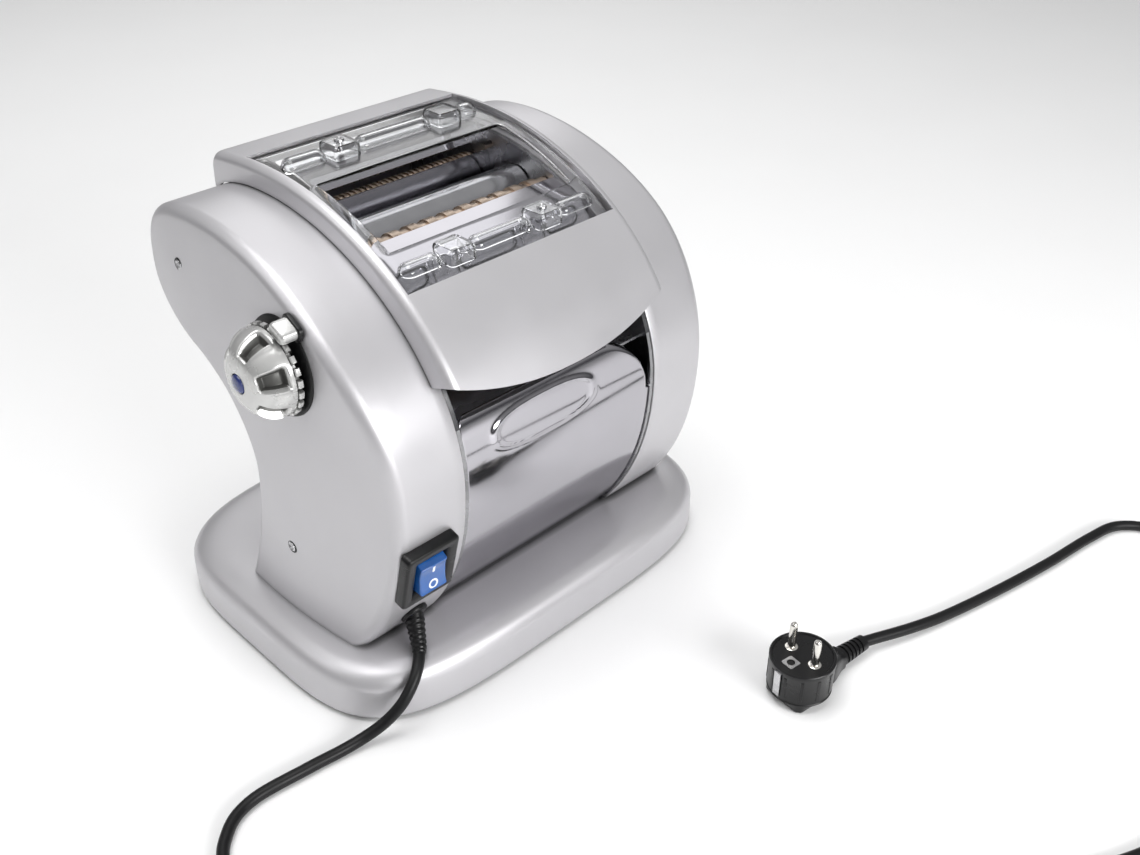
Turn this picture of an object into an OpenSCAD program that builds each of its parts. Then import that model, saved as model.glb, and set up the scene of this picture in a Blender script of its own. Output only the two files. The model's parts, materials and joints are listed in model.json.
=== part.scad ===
// Electric pasta machine: a motor under a hooded head turns two smooth rollers and two cutter pairs.
// X runs along the rollers, -Y is the front, +Z is up. The origin is under the middle of the base.

/* [Base] */
// Width of the base along the rollers
base_w = 316; // [312:1:330]
// Depth of the base, front to back
base_d = 240; // [238:1:250]
// Height of the flat top of the base
base_h = 36; // [36:1:36]

/* [Housings] */
// Greatest half width over the two side housings
housing_x = 137; // [135:1:139]
// Radius of the crowned outer face of a housing
crown_r = 450; // [420:10:600]
// Radius of the crown towards the top of a housing
top_crown_r = 1500; // [1300:100:2000]
// Wall thickness of the side housings
housing_wall = 3; // [2.5:0.5:3]

/* [Rolling gear] */
// Half length of the rollers and cutters
roll_half = 72.5; // [71:0.5:72.5]
// Radius of the smooth rollers
roll_r = 15; // [14.5:0.1:15]
// Outer radius of the cutters
cutter_r = 9.6; // [9.4:0.1:9.6]
// Pitch of the grooves of the wide cutters
wide_pitch = 13; // [12:1:14]
// Pitch of the grooves of the fine cutters
fine_pitch = 4; // [4:1:5]
// Travel of the adjustable roller away from the fixed one
gap_travel = 2; // [1:0.5:2]
// Turn of the thickness knob from thinnest to thickest, degrees
knob_turn = 240; // [180:10:240]

/* [Knob] */
// Diameter of the thickness knob
knob_d = 53; // [48:1:56]

/* [Power] */
// Diameter of the mains cord
cord_d = 7; // [6.5:0.5:7]
// Radius of the motor can
motor_r = 27; // [24:1:27]

/* [Hidden] */

$fn = 48;
fit = 0.05;

// Side outline of the housings in (y, z), from the front of the foot over the top to the back of it.
belly_c = [66.3, 150];
belly_r = 180.3;
dome_c = [40, 150];
dome_a = 154;
dome_b = 122;
hood_a = 172;
hood_b = 136;
top_z = dome_c[1] + dome_b;
hood_top_z = dome_c[1] + hood_b;

function bez(p, t) =
    pow(1 - t, 3) * p[0] + 3 * pow(1 - t, 2) * t * p[1] + 3 * (1 - t) * t * t * p[2] + pow(t, 3) * p[3];
function curve(p, n) = [for (i = [1:n]) bez(p, i / n)];
function arc(c, r, a0, a1, n) = [for (i = [0:n]) let (a = a0 + (a1 - a0) * i / n) c + r * [cos(a), sin(a)]];
function oval(c, a, b, a0, a1, n) =
    [for (i = [0:n]) c + [a * cos(a0 + (a1 - a0) * i / n), b * sin(a0 + (a1 - a0) * i / n)]];
function last(v) = v[len(v) - 1];
function reversed(v) = [for (i = [len(v) - 1:-1:0]) v[i]];
function unit(v) = v / norm(v);
function side_normal(v, i) =
    let (d = unit(v[min(i + 1, len(v) - 1)] - v[max(i - 1, 0)])) [d[1], -d[0]];
// Moves an open outline sideways, to its right as it is walked.
function inset(v, d) = [for (i = [0:len(v) - 1]) v[i] + d * side_normal(v, i)];
function strip(v, d0, d1) = concat(inset(v, d0), reversed(inset(v, d1)));

belly_a0 = 180 + asin((belly_c[1] - base_h) / belly_r);
front_low = arc(belly_c, belly_r, belly_a0, 180, 10);
front_top = oval(dome_c, dome_a, dome_b, 176, 90, 16);
rear_top = curve([[40, top_z], [86, top_z], [116, 258], [115, 219]], 9);
rear_low = concat(
    curve([[115, 219], [115, 200], [88, 190], [57, 184]], 6),
    curve([[57, 184], [26, 177], [6, 148], [6, 128]], 6),
    curve([[6, 128], [6, 95], [22, 60], [34, base_h]], 6));
housing_line = concat(front_low, front_top, rear_top, rear_low);
hood_line = concat(
    oval(dome_c, hood_a, hood_b, 150, 90, 14),
    curve([[40, hood_top_z], [60, 286.5], [75, 284], [90, 282.5]], 3),
    arc([90, 276.5], 6, 75, 0, 3),
    [[98, 262]]);

// Shaft centres in (y, z).
fixed_c = [5, 241];
slide_dir = unit([-0.74, -0.67]);
nip = 0.5;
adjust_c = fixed_c + (2 * roll_r + nip) * slide_dir;
knob_c = [-35, 214];
cutter_step = 18.4;
wide_c = [-22, 247];
wide_front_c = wide_c + cutter_step * unit([-0.86, -0.51]);
fine_c = [46, 244];
fine_rear_c = fine_c + cutter_step * unit([0.88, -0.475]);

// Teeth of the gears, and the places of the two reduction gears and the motor that they set.
roll_teeth = 20;
roll_mod = (2 * roll_r + nip) / roll_teeth;
second_small_teeth = 12;
second_c = fixed_c + roll_mod * (roll_teeth + second_small_teeth) / 2 * unit([0.35, -0.937]);
second_big_teeth = 45;
second_mod = 1.2;
first_small_teeth = 14;
first_c = second_c + second_mod * (second_big_teeth + first_small_teeth) / 2 * unit([-0.35, -0.937]);
first_big_teeth = 50;
first_mod = 1;
pinion_teeth = 12;
motor_c = first_c + first_mod * (first_big_teeth + pinion_teeth) / 2 * unit([-0.6, -0.8]);
cutter_drive_teeth = 28;
wide_drive_teeth = 14;
wide_mod = 2 * norm(wide_c - fixed_c) / (cutter_drive_teeth + wide_drive_teeth);
fine_drive_teeth = 32;
fine_mod = 2 * norm(fine_c - fixed_c) / (cutter_drive_teeth + fine_drive_teeth);
pair_teeth = 16;
pair_mod = cutter_step / pair_teeth;

// Height from which the housings narrow upwards.
top_crown_z = 90;

// Planes across the machine.
plate_in = 73.5;
plate_out = 76;
housing_in = 76.4;
gear1_x = [78.6, 84.6];
gear2_x = [86.2, 91.2];
gear3_x = [92.8, 97.8];
pair_gear_x = [86.2, 91.2];
journal_end = 85.4;
cutter_end = 92;
wide_gear_x = [-97.5, -92.5];
fine_gear_x = [-104, -99];
yoke_x = [-84.2, -78.6];
cam_x = [-90, -85];

// Switch, gland and badge positions on the front of the left housing.
switch_z = 104;
switch_x = -104;
rim_out = 6;
switch_tilt = asin((belly_c[1] - switch_z) / belly_r);
switch_y = belly_c[0] - belly_r * cos(switch_tilt);
gland_z = 54;
gland_x = -99;
gland_tilt = 40;
gland_yaw = 30;
seat_tilt = asin((belly_c[1] - gland_z) / belly_r);
gland_y = belly_c[0] - belly_r * cos(seat_tilt);
gland_out = 16;

// Route of the mains cord along the floor, by hand, in whole millimetres.
plug_c = [56, -256];
plug_turn = 8;
relief_end = 56;
relief_z = 7.6;
function at_plug_x(x) = [plug_c[0] + x * cos(plug_turn), plug_c[1] - x * sin(plug_turn), relief_z];

module along_x(x0, x1) {
    translate([x0, 0, 0]) rotate([90, 0, 90]) linear_extrude(height = x1 - x0) children();
}

module rod(c, r, x0, x1) {
    translate([x0, c[0], c[1]]) rotate([0, 90, 0]) cylinder(r = r, h = x1 - x0);
}

module mirrored() {
    children();
    mirror([1, 0, 0]) children();
}

// Angle of the line between two shaft centres, and the phase that puts two gears in mesh.
function line_angle(a, b) = atan2(b[1] - a[1], b[0] - a[0]);
function mesh_phase(a, phase_a, teeth_a, b, teeth_b) =
    let (line = line_angle(a, b)) line + 180 + 180 / teeth_b - (phase_a - line) * teeth_a / teeth_b;

function tooth_point(r, half, mid) = r * [cos(mid + half), sin(mid + half)];
function gear_points(teeth, mod, phase) =
    let (pitch_r = teeth * mod / 2, step = 360 / teeth, root = pitch_r - 1.2 * mod,
        tip = pitch_r + 0.85 * mod)
    [for (i = [0:teeth - 1]) let (mid = phase + i * step) each [
        tooth_point(root, -step * 0.31, mid), tooth_point(tip, -step * 0.11, mid),
        tooth_point(tip, step * 0.11, mid), tooth_point(root, step * 0.31, mid)]];

module gear(c, teeth, mod, phase, span, bore) {
    along_x(span[0], span[1]) translate(c) difference() {
        polygon(gear_points(teeth, mod, phase));
        circle(r = bore);
    }
}

// Phases, worked outwards from the fixed roller.
roll_phase = line_angle(fixed_c, adjust_c);
adjust_phase = mesh_phase(fixed_c, roll_phase, roll_teeth, adjust_c, roll_teeth);
second_small_phase = mesh_phase(fixed_c, roll_phase, roll_teeth, second_c, second_small_teeth);
second_big_phase = line_angle(second_c, first_c);
first_small_phase = mesh_phase(second_c, second_big_phase, second_big_teeth, first_c, first_small_teeth);
first_big_phase = line_angle(first_c, motor_c);
pinion_phase = mesh_phase(first_c, first_big_phase, first_big_teeth, motor_c, pinion_teeth);
wide_drive_phase = line_angle(fixed_c, wide_c);
wide_phase = mesh_phase(fixed_c, wide_drive_phase, cutter_drive_teeth, wide_c, wide_drive_teeth);
fine_drive_phase = line_angle(fixed_c, fine_c);
fine_phase = mesh_phase(fixed_c, fine_drive_phase, cutter_drive_teeth, fine_c, fine_drive_teeth);
wide_pair_phase = line_angle(wide_c, wide_front_c);
wide_front_phase = mesh_phase(wide_c, wide_pair_phase, pair_teeth, wide_front_c, pair_teeth);
fine_pair_phase = line_angle(fine_c, fine_rear_c);
fine_rear_phase = mesh_phase(fine_c, fine_pair_phase, pair_teeth, fine_rear_c, pair_teeth);

// Base -----------------------------------------------------------------------------------------

function super_power(v, e) = sign(v) * pow(abs(v), e);
function base_outline(a, b) =
    [for (i = [0:71]) [a * super_power(cos(5 * i), 0.465), b * super_power(sin(5 * i), 0.465)]];

// Rings of the base from its rim to its flat top: how far each is drawn in, and its height.
base_rings = [[1, 2], [0, 6], [0, 18], [2, 25], [7, 31], [13, 34.4], [20, base_h]];
base_inner_rings = [for (r = base_rings) [r[0] + 3, r[1] < 3 ? -1 : r[1] - 3]];

module base_body(rings) {
    n = len(base_outline(1, 1));
    last_ring = (len(rings) - 1) * n;
    points = [for (r = rings) each
        [for (p = base_outline(base_w / 2 - r[0], base_d / 2 - r[0])) [p[0], p[1], r[1]]]];
    sides = [for (i = [0:len(rings) - 2], k = [0:n - 1]) let (a = i * n + k, b = i * n + (k + 1) % n) each
        [[a, a + n, b], [b, a + n, b + n]]];
    polyhedron(points = points,
        faces = concat([[for (k = [0:n - 1]) k]], sides, [[for (k = [n - 1:-1:0]) last_ring + k]]));
}

// Long screws come up through the base into the floors of the side housings.
screw_spots = [for (x = [-118, 118], y = [-45, 8]) [x, y]];

module at_screw_spots() {
    for (p = screw_spots) translate([p[0], p[1], 0]) children();
}

module base_cover() {
    color([0.80, 0.80, 0.81]) difference() {
        base_body(base_rings);
        base_body(base_inner_rings);
        at_screw_spots() translate([0, 0, 20]) cylinder(r = 2.25, h = 20);
    }
}

module base_plate() {
    color([0.35, 0.35, 0.37]) difference() {
        translate([0, 0, 2.4]) linear_extrude(height = 2)
            polygon(base_outline(base_w / 2 - 3.4, base_d / 2 - 3.4));
        at_screw_spots() translate([0, 0, 2]) cylinder(r = 2.25, h = 3);
        for (x = [-60:20:60]) translate([x, 0, 2]) cylinder(r = 3, h = 3);
    }
}

foot_spots = [for (x = [-1, 1], y = [-1, 1]) [x * 126, y * 90]];

module rubber_feet() {
    color([0.1, 0.1, 0.1]) for (p = foot_spots) translate([p[0], p[1], 0]) {
        cylinder(r1 = 9, r2 = 10, h = 2.4);
    }
}

module screw_up(head_r, shank_r, length) {
    translate([0, 0, -1.6]) difference() {
        cylinder(r = head_r, h = 1.6);
        translate([-head_r, -0.4, -0.1]) cube([2 * head_r, 0.8, 0.8]);
    }
    cylinder(r = shank_r, h = length);
}

module base_screws() {
    color([0.6, 0.6, 0.62]) at_screw_spots() translate([0, 0, 2.4]) screw_up(3.6, 1.75, base_h + 3);
}

// Side frames ------------------------------------------------------------------------------------

rod_spots = [[-88, 96], [-20, 60], [88, 214], [-70, 160]];
plate_bores = [fixed_c, wide_c, wide_front_c, fine_c, fine_rear_c];

module plate_blank() {
    difference() {
        polygon(concat(inset(housing_line, 1)));
        for (c = plate_bores) translate(c) circle(r = 6);
        // Slot in which the bearing block of the adjustable roller slides.
        hull_slot(adjust_c, 8.3);
        hull_slot(yoke_bar_c, 3.3);
        for (c = rod_spots) translate(c) circle(r = 3);
        translate([-200, base_h - 20]) square([400, 20.1]);
    }
}

module hull_slot(c, r) {
    far = c + (gap_travel + 0.3) * slide_dir;
    near = c - 0.3 * slide_dir;
    across = [-slide_dir[1], slide_dir[0]];
    translate(near) circle(r = r);
    translate(far) circle(r = r);
    polygon([near + r * across, far + r * across, far - r * across, near - r * across]);
}

module side_plate(x0, x1, motor_side) {
    difference() {
        along_x(x0, x1) plate_blank();
        if (motor_side) rod(motor_c, 9, x0 - 1, x1 + 1);
    }
}

module left_side_plate() {
    color([0.75, 0.76, 0.78]) side_plate(-plate_out, -plate_in, false);
}

module right_side_plate() {
    color([0.75, 0.76, 0.78]) difference() {
        side_plate(plate_in, plate_out, true);
        for (a = [60, 240]) rod(motor_c + 16 * [cos(a), sin(a)], 2, plate_in - 1, plate_out + 1);
        rod(first_c, 4, plate_in - 1, plate_out + 1);
        rod(second_c, 4, plate_in - 1, plate_out + 1);
    }
}

module tie_rods() {
    color([0.6, 0.61, 0.63]) for (c = rod_spots) {
        rod(c, 5, -plate_in, plate_in);
        rod(c, 3, -plate_out - 5, -plate_in);
        rod(c, 3, plate_in, plate_out + 5);
    }
}

module tie_rod_nuts() {
    color([0.7, 0.7, 0.72]) mirrored() for (c = rod_spots)
        translate([plate_out, c[0], c[1]]) rotate([0, 90, 0]) difference() {
            cylinder(r = 5.5, h = 4.4, $fn = 6);
            translate([0, 0, -1]) cylinder(r = 3, h = 7);
        }
}

// Bushes are flanged rings pressed into the plates.
module bush(c, bore, x_in, x_out) {
    translate([x_in, c[0], c[1]]) rotate([0, x_out > x_in ? 90 : -90, 0]) difference() {
        union() {
            cylinder(r = 6, h = abs(x_out - x_in));
            translate([0, 0, abs(x_out - x_in)]) cylinder(r = 8, h = 1);
        }
        translate([0, 0, -1]) cylinder(r = bore, h = abs(x_out - x_in) + 3);
    }
}

module roller_bushes() {
    color([0.72, 0.53, 0.25]) {
        bush(fixed_c, 4.5 + fit, plate_in, plate_out);
        bush(fixed_c, 4.5 + fit, -plate_in, -plate_out);
    }
}

module cutter_bushes() {
    color([0.72, 0.53, 0.25]) for (c = [wide_c, wide_front_c, fine_c, fine_rear_c]) {
        bush(c, 3.5 + fit, plate_in, plate_out);
        bush(c, 3.5 + fit, -plate_in, -plate_out);
    }
}

// Side housings ----------------------------------------------------------------------------------

// The outer face is crowned from front to back, and again towards the top.
module crown(shrink) {
    translate([crown_r - housing_x, 0, base_h - 1]) cylinder(r = crown_r - shrink, h = 260, $fn = 96);
}

module top_crown(shrink) {
    translate([top_crown_r - housing_x, 200, top_crown_z]) rotate([90, 0, 0])
        cylinder(r = top_crown_r - shrink, h = 400, $fn = 96);
}

// The left housing lies at -X; the right one is its mirror image with its own holes.
module housing_shell() {
    difference() {
        intersection() {
            along_x(-housing_x, -housing_in) polygon(housing_line);
            crown(0);
            top_crown(0);
        }
        intersection() {
            along_x(-housing_x + housing_wall, -housing_in + 1) polygon(inset(housing_line, housing_wall));
            crown(housing_wall);
            top_crown(housing_wall);
            translate([-200, -200, base_h + housing_wall]) cube([200, 400, 260]);
        }
    }
    // Bosses that the two face screws run into.
    for (c = face_screws) rod(c, 4.5, -housing_x + crown_depth(c) + 1.5, -boss_end);
}

face_screws = [[66, 236], [-24, 88]];
boss_end = 107;

// Bores for the two face screws, with a recess for each head.
module screw_bores() {
    for (c = face_screws) {
        rod(c, 1.8, -housing_x - 1, -boss_end + 1);
        rod(c, 3.3, -housing_x - 1, -housing_x + crown_depth(c) + 0.45);
    }
}

module left_housing() {
    color([0.80, 0.80, 0.81]) difference() {
        housing_shell();
        rod(knob_c, 11, -housing_x - 1, -housing_x + 12);
        screw_bores();
        at_switch() translate([-15, -1, -17]) cube([30, 30, 34]);
        at_gland_seat() translate([0, 0, -20]) cylinder(r = 6.5, h = 40);
        at_screw_spots() translate([0, 0, 30]) cylinder(r = 1.75, h = 20);
    }
}

module right_housing() {
    color([0.80, 0.80, 0.81]) mirror([1, 0, 0]) difference() {
        housing_shell();
        screw_bores();
        at_screw_spots() translate([0, 0, 30]) cylinder(r = 1.75, h = 20);
    }
}

function circle_depth(r, d) = r - sqrt(r * r - d * d);
function crown_depth(c) = max(circle_depth(crown_r, c[0]), circle_depth(top_crown_r, c[1] - top_crown_z));

module housing_screws() {
    color([0.55, 0.55, 0.57]) mirrored() for (c = face_screws) {
        face = -housing_x + crown_depth(c);
        difference() {
            rod(c, 3.2, face - 1, face + 0.4);
            translate([face - 1.1, c[0] - 4, c[1] - 0.4]) cube([0.7, 8, 0.8]);
        }
        rod(c, 1.75, face + 0.4, -boss_end - 2);
    }
}

// Panels and hood --------------------------------------------------------------------------------

function front_y(z, d) = z < dome_c[1]
    ? belly_c[0] - sqrt(pow(belly_r - d, 2) - pow(z - belly_c[1], 2))
    : dome_c[0] - (dome_a - d) * sqrt(1 - pow((z - dome_c[1]) / (dome_b - d), 2));
panel_z0 = base_h;
panel_z1 = 182;
panel_x = plate_in - 0.3;
panel_corner = 40;
panel_nick = 6;
panel_curl = 3.2;
panel_t = 1.2;
panel_line = [for (i = [0:14]) let (z = panel_z0 + (panel_z1 - panel_z0) * i / 14) [front_y(z, 2), z]];

module front_panel() {
    // The sheet's upper corner is well rounded on the plain side, and its top edge is curled back.
    top = panel_z1 + panel_curl + 0.1;
    curl_c = [panel_line[14][0] + panel_curl, panel_z1];
    color([0.85, 0.86, 0.88]) intersection() {
        along_x(-panel_x, panel_x) polygon(concat(
            panel_line,
            arc(curl_c, panel_curl, 180, 20, 6),
            arc(curl_c, panel_curl - panel_t, 20, 180, 5),
            reversed(inset(panel_line, panel_t))));
        translate([0, -40, 0]) rotate([90, 0, 0]) linear_extrude(height = 100) polygon(concat(
            [[-panel_x, 30], [panel_x, 30]],
            arc([panel_x - panel_corner, top - panel_corner], panel_corner, 0, 90, 8),
            arc([panel_nick - panel_x, top - panel_nick], panel_nick, 90, 180, 5)));
    }
}

rear_line = concat(rear_top, rear_low);
rear_panel_line = [for (p = rear_line) if (p[1] < 258) p];

module rear_panel() {
    color([0.80, 0.80, 0.81]) difference() {
        along_x(-plate_in + 0.3, plate_in - 0.3) polygon(strip(rear_panel_line, 2, 3.5));
        translate([-100, -100, base_h - 20]) cube([200, 250, 20.1]);
    }
}

hood_x = 82;
hood_wall = 2;
open_y = [-76, 65];
open_x = 77;
lip_z = 197;
lip_rise = 15;

module hood_lip_cut() {
    // The front lip hangs lower in the middle than at its corners.
    steps = 10;
    lip = [for (i = [-steps:steps]) let (s = i / steps) [(hood_x + 1) * s, lip_z + lip_rise * pow(s, 2)]];
    translate([0, -60, 0]) rotate([90, 0, 0]) linear_extrude(height = 100)
        polygon(concat([[-hood_x - 1, 100], [hood_x + 1, 100]], reversed(lip)));
}

module hood_solid() {
    closing = [for (p = reversed(concat(front_top, rear_top))) if (p[1] > 188 && p[0] < 96) p];
    outer = concat(oval(dome_c, hood_a, hood_b, 164, 151, 4), hood_line);
    along_x(-hood_x, hood_x) polygon(concat(outer, inset(closing, 0.6)));
}

module top_hood() {
    inner = concat(
        oval(dome_c, hood_a - hood_wall, hood_b - hood_wall, 168, 90, 18),
        [[88, 280.6], [92.6, 279], [94, 276], [95.6, 262], [95.6, 180], [-126, 180]]);
    color([0.82, 0.82, 0.83]) difference() {
        hood_solid();
        along_x(-hood_x + hood_wall, hood_x - hood_wall) polygon(inner);
        translate([-open_x, open_y[0], 230]) cube([2 * open_x, open_y[1] - open_y[0], 80]);
        hood_lip_cut();
    }
    // Ribs that stand on the side plates.
    color([0.82, 0.82, 0.83]) mirrored() for (y = [-84, 70])
        along_x(plate_in, hood_x - hood_wall) polygon([[y, rib_foot(y)], [y + 4, rib_foot(y + 4)],
            [y + 4, rib_top(y + 4)], [y, rib_top(y)]]);
}

function dome_z(y, grow) = dome_c[1] + (dome_b + grow) * sqrt(1 - pow((y - dome_c[0]) / (dome_a + grow), 2));
function hood_z(y) = dome_c[1] + hood_b * sqrt(1 - pow((y - dome_c[0]) / hood_a, 2));
function rib_foot(y) = dome_z(y, 0.1);
function rib_top(y) = y > dome_c[0] ? 282.6 : hood_z(y) - 1.5;

// Clear guard: a frame of two flat strips and two rails, with hollow ridges and square bosses.
guard_y = [-74.5, -50, 12, 63.5];
guard_x = 75.5;
guard_t = 2;
function guard_z(y) = dome_z(min(y, 40), 11.6);
ridge_front = -63;
ridge_rear = 38;
front_boss_x = [-34, 31];
rear_boss_x = [-32, 44];
boss_clear = 11;

module guard_strip(y0, y1) {
    n = 6;
    line = [for (i = [0:n]) let (y = y0 + (y1 - y0) * i / n) [y, guard_z(y)]];
    along_x(-guard_x, guard_x) polygon(strip(line, 0, guard_t));
}

// Ridges run between the bosses and out to the side rails.
module guard_ridge(y, bosses) {
    z = guard_z(y);
    spans = [[-71, bosses[0] - boss_clear], [bosses[0] + boss_clear, bosses[1] - boss_clear],
        [bosses[1] + boss_clear, 69]];
    for (s = spans) difference() {
        rod([y, z - 1], 6.5, s[0], s[1]);
        rod([y, z - 1], 5, s[0] + 1.5, s[1] - 1.5);
        translate([s[0] - 1, y - 10, z - 20]) cube([s[1] - s[0] + 2, 20, 19]);
    }
    for (x = bosses) difference() {
        translate([x - 9, y - 9, z - 2.5]) cube([18, 18, 9.5]);
        translate([x - 7.5, y - 7.5, z - 4]) cube([15, 15, 9.5]);
        translate([x, y, z]) cylinder(r = 1.75, h = 10);
    }
}

module feed_guard() {
    color([0.85, 0.88, 0.92, 0.4]) difference() {
        union() {
            guard_strip(guard_y[0], guard_y[1]);
            guard_strip(guard_y[2], guard_y[3]);
            mirrored() translate([67, 0, 0]) intersection() {
                translate([-67, 0, 0]) guard_strip(guard_y[1], guard_y[2]);
                translate([0, -80, 200]) cube([8.5, 150, 120]);
            }
        }
        for (x = front_boss_x) translate([x - 7.5, ridge_front - 7.5, 230]) cube([15, 15, 60]);
        for (x = rear_boss_x) translate([x - 7.5, ridge_rear - 7.5, 230]) cube([15, 15, 60]);
    }
    color([0.85, 0.88, 0.92, 0.4]) {
        guard_ridge(ridge_front, front_boss_x);
        guard_ridge(ridge_rear, rear_boss_x);
    }
}

module guard_screws() {
    color([0.6, 0.6, 0.62]) for (s = [[rear_boss_x[0], ridge_rear], [front_boss_x[1], ridge_front]])
        translate([s[0], s[1], guard_z(s[1]) + 7]) {
            difference() {
                cylinder(r = 3.2, h = 1.6);
                translate([-4, -0.4, 0.9]) cube([8, 0.8, 1]);
            }
            translate([0, 0, -9]) cylinder(r = 1.75, h = 9);
        }
}

// Plates that lead the dough and the cut pasta.
module dough_guide() {
    color([0.85, 0.86, 0.88]) along_x(-plate_in + 0.2, plate_in - 0.2)
        polygon([[30.4, 258.6], [31.8, 258.6], [30.4, 249], [29.6, 240],
            [31, 222], [29.6, 222], [28.2, 240], [29, 249]]);
}

// Bright sheets under the two strips of the clear guard.
module inner_covers() {
    color([0.85, 0.86, 0.88]) {
        along_x(-plate_in + 0.2, plate_in - 0.2)
            polygon([[-76, 230], [-74, 232.5], [-54, 250], [-29, 256.4],
                [-29, 257.6], [-54.2, 251.4], [-75, 233.4], [-77, 231]]);
        along_x(-plate_in + 0.2, plate_in - 0.2)
            polygon([[78, 262], [60, 262], [51.4, 256.8], [52, 255.8], [60.4, 260.8], [78, 260.8]]);
    }
}

module pasta_chute() {
    color([0.80, 0.81, 0.83]) along_x(-plate_in + 0.2, plate_in - 0.2)
        polygon([[81, 213.5], [81, 215.5], [-60, 190.5], [-101, 176.5], [-101, 175], [-60, 189]]);
}

// A stripper plate stands close behind a cutter and keeps the strands from wrapping round it.
module stripper(c, out) {
    back = c + (cutter_r + 1.2) * out;
    across = [-out[1], out[0]];
    along_x(-plate_in + 0.2, plate_in - 0.2)
        polygon([back - 5 * across, back + 5 * across,
            back + 5 * across + 1.5 * out, back - 5 * across + 1.5 * out]);
}

module stripper_plates() {
    color([0.7, 0.71, 0.73]) {
        stripper(wide_front_c, unit([-0.55, -0.83]));
        stripper(fine_rear_c, unit([0.75, -0.65]));
    }
}

// Rollers and cutters ------------------------------------------------------------------------------

module fixed_roller() {
    color([0.82, 0.83, 0.85]) {
        rod(fixed_c, roll_r, -roll_half, roll_half);
        rod(fixed_c, 4.5, -107, -roll_half);
        rod(fixed_c, 4.5, roll_half, journal_end);
    }
}

module adjustable_roller() {
    color([0.82, 0.83, 0.85]) {
        rod(adjust_c, roll_r, -roll_half, roll_half);
        rod(adjust_c, 4.5, yoke_x[0], -roll_half);
        rod(adjust_c, 4.5, roll_half, journal_end);
    }
}

module adjustable_roller_gear() {
    color([0.45, 0.46, 0.48]) gear(adjust_c, roll_teeth, roll_mod, adjust_phase, gear1_x, 4.5);
}

module roller_drive_gear() {
    color([0.45, 0.46, 0.48]) gear(fixed_c, roll_teeth, roll_mod, roll_phase, gear1_x, 4.5);
}

module cutter_drive_gear() {
    color([0.45, 0.46, 0.48]) {
        gear(fixed_c, cutter_drive_teeth, wide_mod, wide_drive_phase, wide_gear_x, 4.5);
        gear(fixed_c, cutter_drive_teeth, fine_mod, fine_drive_phase, fine_gear_x, 4.5);
        along_x(wide_gear_x[0] - 1.5, wide_gear_x[0]) translate(fixed_c) difference() {
            circle(r = 8);
            circle(r = 4.5);
        }
    }
}

// Grooved roll: lands of the pitch's half width less a little side clearance.
module grooved_roll(c, pitch, start, core_r) {
    land = pitch / 2 - 0.3;
    count = floor((2 * roll_half - start) / pitch);
    points = concat([[0, 0], [core_r, 0]],
        [for (i = [0:count - 1]) let (a = start + i * pitch) each
            [[core_r, a], [cutter_r, a], [cutter_r, a + land], [core_r, a + land]]],
        [[core_r, 2 * roll_half], [0, 2 * roll_half]]);
    translate([-roll_half, c[0], c[1]]) rotate([0, 90, 0]) rotate_extrude() polygon(points);
}

module cutter(c, pitch, offset_lands, left_end, right_end) {
    grooved_roll(c, pitch, 0.4 + (offset_lands ? pitch / 2 : 0), cutter_r - 1.2);
    rod(c, 3.5, left_end, -roll_half);
    rod(c, 3.5, roll_half, right_end);
}

module wide_cutter_rear() {
    color([0.40, 0.34, 0.28]) cutter(wide_c, wide_pitch, false, -100, cutter_end);
    color([0.45, 0.46, 0.48]) {
        gear(wide_c, pair_teeth, pair_mod, wide_pair_phase, pair_gear_x, 3.4);
        gear(wide_c, wide_drive_teeth, wide_mod, wide_phase, wide_gear_x, 3.4);
    }
}

module wide_cutter_front() {
    color([0.40, 0.34, 0.28]) cutter(wide_front_c, wide_pitch, true, -80, cutter_end);
    color([0.45, 0.46, 0.48]) gear(wide_front_c, pair_teeth, pair_mod, wide_front_phase, pair_gear_x, 3.4);
}

module fine_cutter_front() {
    color([0.40, 0.34, 0.28]) cutter(fine_c, fine_pitch, false, -106, cutter_end);
    color([0.45, 0.46, 0.48]) {
        gear(fine_c, pair_teeth, pair_mod, fine_pair_phase, pair_gear_x, 3.4);
        gear(fine_c, fine_drive_teeth, fine_mod, fine_phase, fine_gear_x, 3.4);
    }
}

module fine_cutter_rear() {
    color([0.40, 0.34, 0.28]) cutter(fine_rear_c, fine_pitch, true, -80, cutter_end);
    color([0.45, 0.46, 0.48]) gear(fine_rear_c, pair_teeth, pair_mod, fine_rear_phase, pair_gear_x, 3.4);
}

// Thickness adjuster -------------------------------------------------------------------------------

// The yoke carries both ends of the adjustable roller and slides on the plates.
cam_pin_at = 12;
cam_pin_c = knob_c - cam_pin_at * slide_dir;
yoke_bar_c = [-56, 196];
yoke_inner = 72.9;

module yoke_block(x0, x1, inner) {
    across = [-slide_dir[1], slide_dir[0]];
    difference() {
        union() {
            rod(adjust_c, 10, x0, x1);
            along_x(x0, x1) polygon([adjust_c + 6 * across, adjust_c - 6 * across, yoke_bar_c - 5 * across,
                yoke_bar_c + 5 * across]);
            rod(yoke_bar_c, 6, x0, x1);
            // The bearing block that slides in the slot of the plate.
            rod(adjust_c, 8, min(x0, inner), max(x1, inner));
        }
        rod(adjust_c, 4.5 + fit, x0 - 5, x1 + 5);
        rod(yoke_bar_c, 3, x0 - 1, x1 + 1);
    }
}

module left_yoke() {
    color([0.6, 0.6, 0.62]) {
        yoke_block(yoke_x[0], -plate_out - 0.5, -yoke_inner);
        difference() {
            rod(cam_pin_c, 5, yoke_x[0], yoke_x[1]);
            rod(adjust_c, 4.5 + fit, yoke_x[0] - 1, yoke_x[1] + 1);
        }
    }
}

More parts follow.
